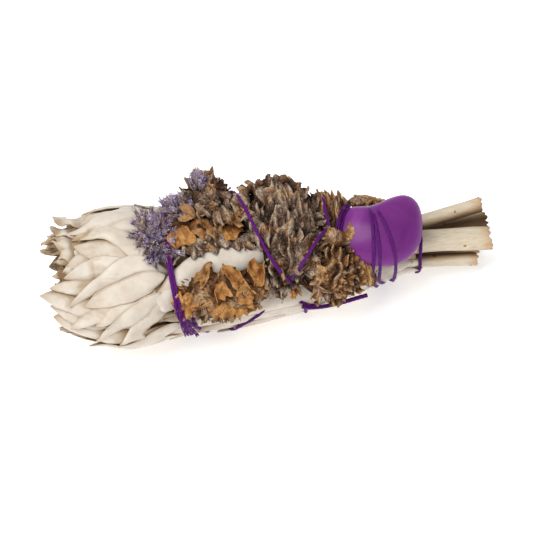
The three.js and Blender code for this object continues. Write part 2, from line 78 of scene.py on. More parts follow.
back = direction(TURNED, RAISED)
right = Vector((math.cos(math.radians(TURNED)), math.sin(math.radians(TURNED)), 0))
up = back.cross(right)
looks_at = AIM - right * AIM_RIGHT + up * AIM_DOWN
lens = bpy.data.cameras.new("camera")
lens.sensor_width = 36
lens.lens = 36 * CAMERA_AWAY / PICTURE_WIDE
lens.clip_start = 0.05
lens.clip_end = 20
camera = bpy.data.objects.new("camera", lens)
camera.location = looks_at + back * CAMERA_AWAY
camera.rotation_mode = "QUATERNION"
camera.rotation_quaternion = back.to_track_quat("Z", "Y")
bpy.context.scene.collection.objects.link(camera)
bpy.context.scene.camera = camera


def lamp(name, azimuth, elevation, away, size, watts, tint):
    """A round lamp that faces the stick."""
    light = bpy.data.lights.new(name, "AREA")
    light.shape = "DISK"
    light.size = size
    light.energy = watts
    light.color = tint
    holder = bpy.data.objects.new(name, light)
    holder.location = direction(azimuth, elevation) * away
    holder.rotation_mode = "QUATERNION"
    holder.rotation_quaternion = direction(azimuth, elevation).to_track_quat("Z", "Y")
    bpy.context.scene.collection.objects.link(holder)


lamp("lamp_high_left", -70, 62, 0.7, 0.50, 3.95, (1.0, 0.985, 0.96))
lamp("lamp_front", 25, 28, 0.9, 0.6, 0.5, (1.0, 0.99, 0.98))
surround = bpy.data.worlds.new("surround")
surround.use_nodes = True
surround.node_tree.nodes["Background"].inputs["Color"].default_value = (1.0, 0.995, 0.985, 1)
surround.node_tree.nodes["Background"].inputs["Strength"].default_value = 0.50
bpy.context.scene.world = surround
bpy.context.scene.view_settings.view_transform = "Standard"


def new_finish(name):
    """A material, its node tree and its Principled BSDF."""
    material = bpy.data.materials.new(name)
    material.use_nodes = True
    return material, material.node_tree, material.node_tree.nodes["Principled BSDF"]


sheet = bmesh.new()
bmesh.ops.create_grid(sheet, x_segments=1, y_segments=1, size=3)
floor_mesh = bpy.data.meshes.new("table")
sheet.to_mesh(floor_mesh)
sheet.free()
table = bpy.data.objects.new("table", floor_mesh)
bpy.context.scene.collection.objects.link(table)
white, tree, skin = new_finish("white sheet")
skin.inputs["Base Color"].default_value = (0.93, 0.93, 0.93, 1)
skin.inputs["Roughness"].default_value = 0.9
skin.inputs["Emission Color"].default_value = (1, 1, 1, 1)
skin.inputs["Emission Strength"].default_value = 0.45
floor_mesh.materials.append(white)
table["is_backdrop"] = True

# ------------------------------------------------------------------------------------------------------------
# White sage sprigs
# Five cut sprigs of dried white sage, tied in a tapered bundle with their leaf tips at -X. The leaves are
# thick, pale and velvety, arched across, and lie over each other like shingles; their tips are crumpled.
# Shade is painted into the crevices between the leaves and onto the leaves deep inside each sprig.
RADII_AT = np.array([-60, -54, -44, -31, -17, -4, 9, 22, 31, 40, 60], float)
RADII = np.array([12.8, 14.4, 16.0, 17.5, 17.3, 16.2, 14.5, 11.6, 9.4, 7.9, 7.9])
RADII_SLOPE = np.array(
    [(RADII[min(i + 1, 10)] - RADII[max(i - 1, 0)]) / (RADII_AT[min(i + 1, 10)] - RADII_AT[max(i - 1, 0)])
     for i in range(11)])
SECTION_WIDE, SECTION_TALL = 1.07, 0.96  # the bundle is pressed a little flat
AXIS_HEIGHT, AXIS_AT, AXIS_FALL = 13.6, -10, 0.089  # its axis falls towards the thinner end, the stems
LEAF_LAYER = 1.0  # what the outermost leaves add to the bundle's radius
LEAF_THICK = 0.34
LEAF_GAP = 0.45  # from a leaf to the one under it, middle to middle
MIDDLE = (-0.385, 0.950)  # x and y that put the origin under the middle of the finished stick
MEAN_RADIUS = 15  # the bundle's
SPRIGS = [(270, 48), (336, 84), (54, 72), (126, 72), (204, 84)]  # middle and share of the round, in degrees
FAR_SPRIG, FRONT_SPRIG = 336, 204  # by their middles: the ones low on the far side and below the flowers


def bundle_radius(x):
    """The bundle's radius, on a smooth curve through RADII."""
    x = np.clip(np.asarray(x, float), RADII_AT[0], RADII_AT[-1])
    i = np.clip(np.searchsorted(RADII_AT, x, side="right") - 1, 0, len(RADII) - 2)
    span = RADII_AT[i + 1] - RADII_AT[i]
    t = (x - RADII_AT[i]) / span
    risen = t * t * (3 - 2 * t)
    starts, ends = t * (1 - t) ** 2, t * t * (t - 1)
    between = RADII[i] + (RADII[i + 1] - RADII[i]) * risen
    return between + RADII_SLOPE[i] * span * starts + RADII_SLOPE[i + 1] * span * ends


def axis_height(x):
    """How high the bundle's axis is above the table."""
    return AXIS_HEIGHT - AXIS_FALL * (np.asarray(x, float) - AXIS_AT)


def around(x, degrees, distance, lowest=0.02):
    """Points in millimetres at a distance from the bundle's axis; 0 degrees is +Y and 90 is up."""
    a = np.radians(degrees)
    y = distance * SECTION_WIDE * np.cos(a) + MIDDLE[1]
    z = axis_height(x) + distance * SECTION_TALL * np.sin(a)
    return np.stack([x + MIDDLE[0] + 0 * y, y, np.maximum(z, lowest)], -1)


def unrolled(points):
    """The x, degrees and distance from the bundle's axis of points in millimetres."""
    x = points[:, 0] - MIDDLE[0]
    y = (points[:, 1] - MIDDLE[1]) / SECTION_WIDE
    z = (points[:, 2] - axis_height(x)) / SECTION_TALL
    return x, np.degrees(np.arctan2(z, y)) % 360, np.hypot(y, z)


def paint_crevice_shade(bm, cell, deep, keeps=0.0):
    """Painted shade for crevices: lowers each vertex's shade by how far it lies below the highest leaf or
    petal right beside it.
    """
    from_x, long = -66, 136  # the net that is laid round the stick
    verts = list(bm.verts)
    x, degrees, reach = unrolled(np.array([v.co for v in verts]) / MM)
    arc = np.radians(degrees) * MEAN_RADIUS
    i, j = ((x - from_x) / cell).astype(int), (arc / cell).astype(int)
    across, around_it = int(long / cell), int(2 * math.pi * MEAN_RADIUS / cell) + 2
    net = np.zeros((across, around_it))
    np.maximum.at(net, (i, j), reach)
    for axis in (0, 1):
        net = np.maximum(net, np.maximum(np.roll(net, 1, axis), np.roll(net, -1, axis)))
    for axis in (0, 1):
        net = (np.roll(net, 1, axis) + np.roll(net, -1, axis) + 2 * net) / 4
    below = np.clip(net[i, j] - reach - 0.25, 0, 9)
    layer = bm.verts.layers.float["shade"]
    for vert, depth in zip(verts, below):
        vert[layer] *= keeps + (1 - keeps) * math.exp(-depth / deep)


# How far out from the axis the pieces laid so far reach, on a net of 1 mm by 3 degrees.
NET_FROM, NET_DEGREES = -64, 3
OUTSIDE = np.zeros((130, 120))


def outside_at(x, degrees):
    """How far out what is laid reaches at these places, read between the net's knots."""
    i = np.clip(np.asarray(x, float) - NET_FROM, 0, len(OUTSIDE) - 1.001)
    j = (np.asarray(degrees, float) % 360) / NET_DEGREES
    i0, j0 = np.floor(i).astype(int), np.floor(j).astype(int)
    fi, fj = i - i0, j - j0
    j0, j1 = j0 % OUTSIDE.shape[1], (j0 + 1) % OUTSIDE.shape[1]
    near = OUTSIDE[i0, j0] * (1 - fj) + OUTSIDE[i0, j1] * fj
    far = OUTSIDE[i0 + 1, j0] * (1 - fj) + OUTSIDE[i0 + 1, j1] * fj
    return near * (1 - fi) + far * fi


def now_reaches(x, degrees, distance):
    """Notes on the net that something reaches these distances."""
    i = np.clip(np.round(np.ravel(x) - NET_FROM).astype(int), 0, len(OUTSIDE) - 1)
    j = np.round((np.ravel(degrees) % 360) / NET_DEGREES).astype(int) % OUTSIDE.shape[1]
    np.maximum.at(OUTSIDE, (i, j), np.ravel(distance))


def along_route(route, s):
    """A smooth line through the listed points, at shares s of the way."""
    points = np.array(route, float)
    steps = np.linalg.norm(np.diff(points[:, :2] * [1, 0.3], axis=0), axis=1)
    at = np.concatenate([[0], np.cumsum(steps)]) / steps.sum()
    slopes = np.gradient(points, at, axis=0) if len(route) > 2 else np.diff(points, axis=0).repeat(2, 0)
    i = np.clip(np.searchsorted(at, s, side="right") - 1, 0, len(at) - 2)
    span = (at[i + 1] - at[i])[:, None]
    t = ((s - at[i]) / (at[i + 1] - at[i]))[:, None]
    between = points[i] + (points[i + 1] - points[i]) * (t * t * (3 - 2 * t))
    return between + slopes[i] * span * t * (1 - t) ** 2 + slopes[i + 1] * span * t * t * (t - 1)


def new_piece():
    """An empty bmesh with the layers that every leafy piece's material reads."""
    bm = bmesh.new()
    bm.loops.layers.uv.new("UVMap")
    bm.verts.layers.float.new("shade")
    bm.verts.layers.float.new("tone")
    return bm


flat_grids = {}


def add_grid(bm, across, along, shape, shade=0.5, tone=0.5):
    """A grid of faces whose points shape() places, given -1 to 1 across and 0 to 1 along."""
    if (across, along) not in flat_grids:
        flat = new_piece()
        bmesh.ops.create_grid(flat, x_segments=across, y_segments=along, size=1, calc_uvs=True)
        flat_grids[across, along] = bpy.data.meshes.new("flat_grid")
        flat.to_mesh(flat_grids[across, along])
        flat.free()
    before = len(bm.verts)
    bm.from_mesh(flat_grids[across, along])
    bm.verts.ensure_lookup_table()
    verts = bm.verts[before:]
    flat = np.array([v.co[:2] for v in verts])
    placed = shape(flat[:, 0], (flat[:, 1] + 1) / 2)
    points, shades = placed if isinstance(placed, tuple) else (placed, np.full(len(verts), shade))
    shade_layer, tone_layer = bm.verts.layers.float["shade"], bm.verts.layers.float["tone"]
    for vert, point, value in zip(verts, points * MM, shades):
        vert.co = point
        vert[shade_layer] = value
        vert[tone_layer] = tone
    return verts


def wobble(points, size, seed):
    """Smooth noise from about -1 to 1 at points in millimetres."""
    shifted = np.asarray(points, float) / size + seed * 7.31
    return np.array([noise.noise(Vector(p)) for p in shifted])


def leaf_half_width(s, width, blunt, phase):
    """Half the width at shares s of a leaf's length; blunt is 0 for a pointed tip and 1 for a rounded one."""
    pointed = np.sin(np.pi * s ** 0.8) ** 0.8
    closes = 1 - np.clip((s - 0.62) / 0.38, 0, 1) ** 2.6
    rounded = np.sin(np.pi * np.minimum(s, 0.62) ** 0.85) ** 0.6 * closes
    uneven = 1 + 0.05 * np.sin(9 * s + phase)
    return width / 2 * (pointed * (1 - blunt) + rounded * blunt) * uneven + 0.05


def resting(x, degrees, s, u, reach, profile, arch, tilt, lift, layer):
    """How far out a soft leaf lies over what is laid already; arch is how high it is arched across."""
    tucked = np.clip(-u * np.sign(tilt), 0, 1) ** 2 * min(1, abs(tilt) * 3)
    floor = outside_at(x, degrees) + LEAF_GAP * (1 - 2.2 * tucked)
    rises = np.clip(s / 0.35, 0, 1)
    gains = reach * (layer - 0.88) + LEAF_LAYER * (layer > 0.98)
    aims_at = reach * 0.88 + gains * rises * rises * (3 - 2 * rises)
    stiff = np.quantile((floor - profile)[1:-1], 0.55, axis=0)
    base = np.maximum(aims_at - arch + lift * s ** 3, stiff)
    for _ in range(2):
        base[1:-1] = (base[:-2] + 2 * base[1:-1] + base[2:]) / 4
    raised = np.maximum(base, floor - profile)
    for _ in range(3):  # a leaf is too stiff to follow every bump below it
        eased = raised.copy()
        beside = raised[:-2, 1:-1] + raised[2:, 1:-1] + raised[1:-1, :-2] + raised[1:-1, 2:]
        eased[1:-1, 1:-1] = beside / 4
        raised = np.maximum(eased, floor - profile - 0.15)
    return raised + profile


def lay_leaf(bm, route, width, draw, across=10, along=24, camber=0.36, tilt=0.0, lift=0.0, blunt=0.0,
             crumple=0.0, folds=3.0, layer=1.0, free=None, tone=None, shade=1.0):
    """One soft leaf over what is laid already, or at free distances from the axis. The route is [x, degrees];
    tilt raises the edge on the side of the smaller degrees and tucks the other one in."""
    phase, waves = draw.uniform(0, 6.3), draw.uniform(1.0, 2.2)
    seed = draw.uniform(0, 90)
    s = np.linspace(0, 1, along + 1)
    line = along_route(route, s)
    reach = bundle_radius(line[:, 0])
    tangent = np.stack([np.gradient(line[:, 0]), np.radians(np.gradient(line[:, 1])) * reach], 1)
    tangent /= np.linalg.norm(tangent, axis=1, keepdims=True)
    half = leaf_half_width(s, width, blunt, phase)
    u = np.sin(np.linspace(-1, 1, across + 1) * np.pi / 2)[:, None]
    arched = camber * half * (1 - np.abs(u) ** 3.2)
    wave = 0.04 * width * u * np.sin(2 * np.pi * waves * s + phase)
    swell = np.sin(np.pi * np.clip(s, 0.02, 1)) ** 0.5
    rib = 0.05 * np.exp(-(u / 0.1) ** 2)
    profile = arched + wave + tilt * u * swell - rib
    x = line[:, 0] - tangent[:, 1] * u * half
    degrees = line[:, 1] + np.degrees(tangent[:, 0] * u * half / reach)
    if free is None:
        distance = resting(x, degrees, s, u, reach, profile, camber * half, tilt, lift, layer)
        now_reaches(x, degrees, distance)
    else:
        distance = free[0] + (free[1] - free[0]) * s + profile

    def shape(u_at, v_at):
        i = np.round((u_at + 1) / 2 * across).astype(int)
        k = np.round(v_at * along).astype(int)
        points = around(x[i, k], degrees[i, k], distance[i, k])
        if crumple:
            push = np.clip((v_at - 0.3) / 0.7, 0, 1) * crumple
            for axis in range(3):
                points[:, axis] += push * wobble(points, folds, seed + axis)
        points[:, 2] = np.maximum(points[:, 2], LEAF_THICK)
        return points

    add_grid(bm, across, along, shape, shade=shade, tone=draw.random() if tone is None else tone)


def inner_leaves(bm, middle, sector, draw):
    """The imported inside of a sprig: a shell of pressed leaves, and crumpled tips in the open end."""
    half = sector / 2

    def shell(u, v):
        x = -46 + 83 * v
        closed = np.clip(v / 0.07, 0, 1) ** 0.5
        pressed = 0.78 + 0.06 * np.clip((x + 32) / 8, 0, 1)
        return around(x, middle + u * half, bundle_radius(x) * pressed * closed)

    # Painted shade: the shell is painted darker than the leaves laid over it.
    add_grid(bm, 12, 30, shell, shade=0.6, tone=0.3)
    for share, count in [(0.15, 2), (0.34, 3), (0.54, 4), (0.72, 4)]:
        for i in range(count):
            degrees = middle + sector * ((i + 0.5 + draw.uniform(-0.3, 0.3)) / count - 0.5)
            tip = draw.uniform(-57.0, -53.0) + 1.5 * share
            out = bundle_radius(tip) * share
            half_way, at_tip = degrees + draw.uniform(-9, 9), degrees + draw.uniform(-22, 22)
            # Painted shade: the deeper inside the sprig a tip lies, the darker it is painted.
            lay_leaf(bm, [(-40, degrees), (-49, half_way), (tip, at_tip)], draw.uniform(7.0, 10.0), draw,
                     across=14, along=26, camber=draw.uniform(0.1, 0.5), crumple=draw.uniform(2.0, 3.2),
                     blunt=0.8, folds=draw.uniform(3.0, 4.5),
                     free=(out * 1.06, out + draw.uniform(-0.8, 0.8)), tone=draw.uniform(0.2, 0.8),
                     shade=0.75 + 0.25 * share)


# Rings of leaves from the inside out: base x, tip x, leaves to a sprig of 72 degrees, width, spread, crumple
# and the share of the bundle's radius that they lie at.
LEAF_RINGS = [
    (-38, -56.5, 5, 7.0, 0.95, 1.4, 0.82),
    (-36, -57.0, 6, 6.4, 0.98, 0.8, 0.88),
    (-33, -55.5, 6, 6.2, 1.0, 0.3, 0.93),
    (-30, -51.0, 6, 6.0, 1.0, 0.1, 0.97),
    (-27, -46.0, 5, 6.0, 1.0, 0.0, 1.0),
    (24, -16.0, 3, 8.6, 0.9, 0.0, 0.92),
    (12, -33.0, 4, 8.0, 1.0, 0.0, 0.97),
    (39, 4.0, 3, 6.6, 0.9, 0.0, 0.94),
    (28, -20.0, 2, 8.0, 0.8, 0.0, 1.0),
]

# The crumpled broad tips that stick out at the upper side of the leafy end: sprig, width, tone, how far the
# tip stands out, and route.
CRUMPLED_LEAVES = [
    (3, 8.0, 0.6, 4.4, [(-40, 50), (-46, 50), (-51, 52), (-55.5, 57)]),
    (3, 8.0, 0.75, 2.2, [(-42, 62), (-49, 61), (-54, 63), (-56.6, 66)]),
    (3, 6.0, 0.8, 0.9, [(-44, 82), (-49, 77), (-54, 73), (-56.2, 70)]),
    (3, 6.5, 0.75, 0.9, [(-42, 92), (-48, 88), (-53, 86), (-56.2, 81)]),
    (3, 6.0, 0.8, 0.9, [(-43, 100), (-48, 98), (-53, 97), (-56.0, 94)]),
    (4, 6.0, 0.75, 0.9, [(-43, 110), (-48, 112), (-53, 113), (-56.5, 112)]),
]

# The leaves that show at the leafy end, listed one by one from under to over: the sprig each grows on, its
# width, how blunt it is, how far its upper edge stands proud, and its route.
SHOWN_LEAVES = [
    (5, 8.0, 0.3, -0.6, [(-38, 182), (-46, 180), (-53, 172), (-60.2, 157)]),
    (4, 7.0, 0.3, -0.6, [(-44, 165), (-50.6, 161), (-55, 154), (-60.6, 145)]),
    (4, 6.5, 0.3, -0.6, [(-44, 152), (-50.6, 148), (-56, 141), (-62.8, 133)]),
    (4, 5.6, 0.4, -0.3, [(-40, 131), (-48.4, 130), (-54.3, 128), (-60.0, 127)]),
    (3, 7.4, 0.8, 0.3, [(-38, 112), (-44, 111), (-49, 107), (-54.5, 108)]),
    (3, 8.6, 0.6, 0.0, [(-32, 118), (-38, 111), (-43.5, 103), (-48, 96), (-52, 90)]),
    (3, 6.0, 0.3, 0.5, [(-36, 121), (-42, 119), (-48, 116), (-56.0, 119)]),
    (3, 5.4, 0.4, -0.2, [(-28, 80), (-33.2, 77), (-38.6, 78), (-44.1, 80), (-49.5, 85)]),
    (3, 5.6, 0.1, 0.2, [(-27, 64), (-32, 66), (-38, 70), (-45, 72), (-53.5, 72)]),
    (3, 4.4, 0.0, 0.2, [(-29, 84), (-33, 83), (-37, 84), (-42.5, 85)]),
    (3, 6.2, 0.3, -0.3, [(-30, 126), (-33.4, 121), (-36.7, 106), (-40, 93), (-44.5, 85), (-50.5, 85)]),
    (4, 5.0, 0.1, -0.5, [(-40, 146), (-47, 151), (-51, 157), (-56.5, 169)]),
    (4, 5.4, 0.1, -0.4, [(-34, 138), (-39.5, 143), (-43, 149), (-46.8, 157), (-50.3, 166)]),
    (4, 3.6, 0.2, 0.0, [(-31, 128), (-33.7, 127), (-37.4, 129), (-42, 132)]),
    (4, 5.4, 0.2, 0.5,
     [(-30, 125), (-33.4, 122), (-37, 119), (-41, 120.5), (-45, 126), (-49, 132), (-56, 146)]),
    (4, 5.6, 0.3, 0.0, [(-31, 128), (-35.5, 131), (-39.5, 134.5), (-44.3, 138), (-48.4, 142), (-52.3, 147)]),
    (5, 6.8, 0.1, 0.6, [(-29, 150), (-33, 156), (-37, 167), (-41, 178), (-44.6, 192)]),
    (5, 5.6, 0.1, 0.4, [(-32, 142), (-35.8, 147), (-39, 154), (-43, 163), (-46.5, 173), (-50.3, 188)]),
    (5, 7.0, 0.1, 0.4, [(-27, 178), (-33, 186), (-39.5, 195), (-47, 200), (-52, 204)]),
    (5, 9.5, 0.4, 0.3, [(38, 192), (20, 198), (4, 205), (-14, 210)]),
    (5, 9.5, 0.5, -0.3, [(36, 166), (22, 173), (8, 181), (-8, 189), (-24, 197)]),
    (4, 8.0, 0.4, -0.3, [(30, 152), (18, 158), (4, 166), (-12, 172), (-27, 178)]),
]
# The flap beside the blunt end of the broad leaf that lies along the front between the flowers, and then that
# leaf: sprig, width, how blunt, how far its base and its tip stand out, and route.
FRONT_LEAVES = [
    (4, 6.4, 0.9, 0.4, 1.2, [(-27.6, 146), (-29.4, 146.5), (-31.6, 148), (-35.0, 151)]),
    (4, 8.6, 0.95, 2.6, 1.2,
     [(0, 114), (-8, 117), (-13.5, 120), (-18.5, 123.5), (-23.5, 130), (-28.5, 137), (-34.5, 143)]),
]

sage = [new_piece() for _ in SPRIGS]
draw = random.Random(11)
for x in np.arange(-50, 38):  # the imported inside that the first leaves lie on
    leafy = x < -28
    underneath, far_side = slice(57, 82), slice(104, 120)  # on the net, in steps of 3 degrees
    OUTSIDE[int(x) - NET_FROM, :] = bundle_radius(x) * (0.78 if leafy else 0.84)
    OUTSIDE[int(x) - NET_FROM, underneath] = bundle_radius(x) * 0.76  # pressed on the table
    OUTSIDE[int(x) - NET_FROM, far_side] = bundle_radius(x) * (0.87 if leafy else 0.84)  # loose
for k, (middle, sector) in enumerate(SPRIGS):
    inner_leaves(sage[k], middle, sector, draw)
for base, tip, each, width, spread_share, crumple, layer in LEAF_RINGS:
    for k, (middle, sector) in enumerate(SPRIGS):
        far_tips = middle == FAR_SPRIG and tip < -30
        count = max(2, round(each * sector / 72))
        for i in range(count):
            share = (i + 0.5 + draw.uniform(-0.22, 0.22)) / count - 0.5
            at_base = middle + share * sector * 0.8
            at_tip = middle + share * sector * spread_share + draw.uniform(-9, 9)
            end = tip + draw.uniform(-2.2, 2.2)
            half_way = (base + (end - base) * 0.45, at_base * 0.5 + at_tip * 0.5)
            stands_off = draw.uniform(0, 3.5 if far_tips else 0.5)  # nothing presses the far tips down
            lay_leaf(sage[k], [(base, at_base), half_way, (end, at_tip)],
                     width * draw.uniform(0.8, 1.15), draw, lift=stands_off,
                     tilt=draw.choice([-0.5, 0.5]), crumple=crumple, blunt=draw.uniform(0, 0.5),
                     layer=layer - 0.08 * (middle == FRONT_SPRIG))
for k, width, tone, stands, route in CRUMPLED_LEAVES:
    out = bundle_radius(-55)
    lay_leaf(sage[k - 1], route, width, draw, across=18, along=32, blunt=0.6, camber=0.15, crumple=1.5,
             folds=2.4, free=(out * 0.82, out + stands), tone=tone)
for k, width, blunt, tilt, route in SHOWN_LEAVES:
    lay_leaf(sage[k - 1], route, width * 0.86, draw, across=14, along=32, blunt=blunt, tilt=tilt * 1.5,
             camber=0.5, lift=0.2, crumple=0.15, tone=draw.uniform(0.6, 1.0),
             layer=0.92 if route[0][0] > 0 else 1.0)
for k, width, blunt, base_out, tip_out, route in FRONT_LEAVES:
    at = (bundle_radius(route[0][0]) + base_out, bundle_radius(route[-1][0]) + tip_out)
    lay_leaf(sage[k - 1], route, width, draw, across=16, along=30, blunt=blunt, camber=0.34, tilt=0.7,
             tone=0.95, crumple=0.35, free=at)
for bm in sage:
    paint_crevice_shade(bm, 0.7, 1.1, 0.2)


def group_of(name, inputs, outputs):
    """A new shader node group with its sockets: inputs are {name: (kind, value)}, outputs {name: kind}."""
    tree = bpy.data.node_groups.new(name, "ShaderNodeTree")
    for socket, (kind, value) in inputs.items():
        made = tree.interface.new_socket(socket, in_out="INPUT", socket_type="NodeSocket" + kind)
        made.default_value = value
    for socket, kind in outputs.items():
        tree.interface.new_socket(socket, in_out="OUTPUT", socket_type="NodeSocket" + kind)
    return tree, tree.nodes.new("NodeGroupInput"), tree.nodes.new("NodeGroupOutput")


def wired(tree, kind, settings=None, **inputs):
    """A node with its settings and inputs; an input is a value or another node's socket."""
    node = tree.nodes.new("ShaderNode" + kind)
    for key, value in (settings or {}).items():
        setattr(node, key, value)
    for key, value in inputs.items():
        numbered = key[0] == "i" and key[1:].isdigit()
        socket = node.inputs[int(key[1:]) if numbered else key.replace("_", " ")]
        if isinstance(value, bpy.types.NodeSocket):
            tree.links.new(value, socket)
        else:
            socket.default_value = value
    return node


def colour(code):
    """A colour picked on a screen, as the linear numbers that shaders use."""
    parts = [int(code[i:i + 2], 16) / 255 for i in (0, 2, 4)]
    return (*(p / 12.92 if p <= 0.04045 else ((p + 0.055) / 1.055) ** 2.4 for p in parts), 1)


def ramp_of(tree, value, stops):
    """A colour ramp: stops are {place: colour code}."""
    node = wired(tree, "ValToRGB", Fac=value)
    ramp = node.color_ramp
    while len(ramp.elements) < len(stops):
        ramp.elements.new(0.5)
    for element, (place, code) in zip(ramp.elements, stops.items()):
        element.position = place
        element.color = colour(code)
    return node.outputs["Color"]


def place_on(tree):
    """Where a point is on the object."""
    return wired(tree, "TexCoord").outputs["Object"]


def painted(tree, layer):
    """What is painted on a piece's points: its shade, or the tone of the leaf or fold it belongs to, which on
    the stems is painted shade.
    """
    return wired(tree, "Attribute", {"attribute_name": layer}).outputs["Fac"]


def noisy(tree, where, scale, detail, roughness, distortion=0.0):
    """Noise between 0 and 1."""
    made = wired(tree, "TexNoise", Vector=where, Scale=scale, Detail=detail, Roughness=roughness,
                 Distortion=distortion)
    return made.outputs["Fac"]


def worked_out(tree, operation, *values, clamp=False):
    """One sum, such as ADD or MULTIPLY, of one to three values."""
    numbered = {f"i{place}": value for place, value in enumerate(values)}
    return wired(tree, "Math", {"operation": operation, "use_clamp": clamp}, **numbered).outputs[0]


def stretched(tree, value, low, high, top, smooth=False):
    """The value's span from low to high, stretched to 0 to top."""
    kind = "SMOOTHSTEP" if smooth else "LINEAR"
    made = wired(tree, "MapRange", {"interpolation_type": kind}, Value=value, From_Min=low, From_Max=high,
                 To_Min=0.0, To_Max=top)
    return made.outputs[0]


def blended(tree, share, under, over, blend="MIX"):
    """Two colours mixed by share, or multiplied; over may be a colour code."""
    over = colour(over) if isinstance(over, str) else over
    settings = {"data_type": "RGBA", "blend_type": blend}
    return wired(tree, "Mix", settings, i0=share, i6=under, i7=over).outputs[2]


def bumped(tree, height, strength, distance, over=None):
    """A bump by height, on top of the bump that is over."""
    more = {} if over is None else {"Normal": over}
    return wired(tree, "Bump", Strength=strength, Distance=distance, Height=height, **more).outputs[0]


# Flecks: small spots of another colour, like insect bites and rust on dried leaves.
flecks, into, out_of = group_of(
    "flecks", {"Scale": ("Float", 500.0), "Size": ("Float", 0.2), "Share": ("Float", 0.3)}, {"Mask": "Float"})
cells = wired(flecks, "TexVoronoi", Vector=place_on(flecks), Scale=into.outputs["Scale"])
spot = worked_out(flecks, "LESS_THAN", cells.outputs["Distance"], into.outputs["Size"])
picked = wired(flecks, "SeparateColor", Color=cells.outputs["Color"]).outputs["Red"]
chosen = worked_out(flecks, "LESS_THAN", picked, into.outputs["Share"])
flecks.links.new(worked_out(flecks, "MULTIPLY", spot, chosen), out_of.inputs["Mask"])

# Felt: the short dense hairs of a velvety leaf, as a height, and slow mottling as a mask.
felt, into, out_of = group_of(
    "felt", {"Hair Scale": ("Float", 5200.0), "Mottle Scale": ("Float", 260.0)},
    {"Height": "Float", "Mottle": "Float"})
where = place_on(felt)
felt.links.new(noisy(felt, where, into.outputs["Hair Scale"], 3.0, 0.6), out_of.inputs["Height"])
felt.links.new(noisy(felt, where, into.outputs["Mottle Scale"], 4.0, 0.55), out_of.inputs["Mottle"])

leaf, tree, skin = new_finish("dried white sage leaf")
pile = wired(tree, "Group", {"node_tree": felt})
hairs, mottle = pile.outputs["Height"], pile.outputs["Mottle"]
rust = wired(tree, "Group", {"node_tree": flecks}, Scale=240.0, Size=0.10, Share=0.12)
uv = wired(tree, "SeparateXYZ", Vector=wired(tree, "UVMap", {"uv_map": "UVMap"}).outputs["UV"])
off_rib = worked_out(tree, "ABSOLUTE", worked_out(tree, "SUBTRACT", uv.outputs["X"], 0.5))
margin = stretched(tree, off_rib, 0.42, 0.5, 0.55, smooth=True)
tip = stretched(tree, uv.outputs["Y"], 0.8, 1.0, 0.7, smooth=True)
aged = worked_out(tree, "MULTIPLY", worked_out(tree, "MAXIMUM", margin, tip), mottle)
pale = ramp_of(tree, mottle, {0.3: "ccc1b3", 0.5: "d5cbbf", 0.75: "ddd6cb"})
dull = ramp_of(tree, mottle, {0.3: "bba98f", 0.7: "dacdb9"})
body = blended(tree, painted(tree, "tone"), dull, pale)
edged = blended(tree, aged, body, "a9824f")
spotted = blended(tree, rust.outputs["Mask"], edged, "a86f35")
# Painted shade: the leaf colour is darkened where the painted shade is low, in crevices and deep inside the
# sprigs.
painted_shade = ramp_of(tree, painted(tree, "shade"), {0.0: "866a4c", 0.45: "c6b296", 0.9: "ffffff"})
tree.links.new(blended(tree, 1.0, spotted, painted_shade, "MULTIPLY"), skin.inputs["Base Color"])
velvet = bumped(tree, hairs, 0.35, 0.00025)
tree.links.new(bumped(tree, mottle, 0.3, 0.0012, velvet), skin.inputs["Normal"])
skin.inputs["Roughness"].default_value = 0.85
skin.inputs["Sheen Weight"].default_value = 0.3
skin.inputs["Sheen Roughness"].default_value = 0.5
skin.inputs["Specular IOR Level"].default_value = 0.25


made_pieces = []  # with their slots: the thread is wound over them


def finished(bm, name, material, slot, replaced=(), thick=0.0):
    """The bmesh as a piece that rides on the part."""
    mesh = bpy.data.meshes.new(name)
    bm.to_mesh(mesh)
    bm.free()
    mesh.materials.append(material)
    mesh.polygons.foreach_set("use_smooth", [True] * len(mesh.polygons))
    piece = bpy.data.objects.new(name, mesh)
    bpy.context.scene.collection.objects.link(piece)
    if thick:
        wall = piece.modifiers.new("thickness", "SOLIDIFY")
        wall.thickness = thick * MM
        wall.offset = -1
        wall.use_even_offset = False
    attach(piece, "root")
    if replaced:
        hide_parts(*replaced)
    made_pieces.append((piece, slot))


for k, bm in enumerate(sage):
    finished(bm, f"sage_leaves_{k + 1}", leaf, "sage", [f"sage_sprig_{k + 1}"], thick=LEAF_THICK)

# ------------------------------------------------------------------------------------------------------------
# Cut stems
# Each sprig's square woody stem, bare at the tied end and cut off roughly. The bark is cream with rust
# flecks, and the cut ends are torn, tan and hollow at the pith.
# Shade is painted on the stems' flanks that face each other and inside their turned-in cut ends.
STEM_FROM = 28.0
STEM_LEAVES_AT = 40.0  # where it comes out of the leaves
STEMS = [  # where it ends, its radius, its distance from the axis, how far it leans out and turns at its end
    (56.5, 1.9, 4.9, 0.2, 0),
    (60.6, 2.2, 4.9, 1.2, 8),
    (58.4, 2.1, 5.0, 2.9, -4),
    (58.0, 3.0, 5.3, 0.7, 13),
    (54.4, 1.8, 5.1, 1.1, -2),
]


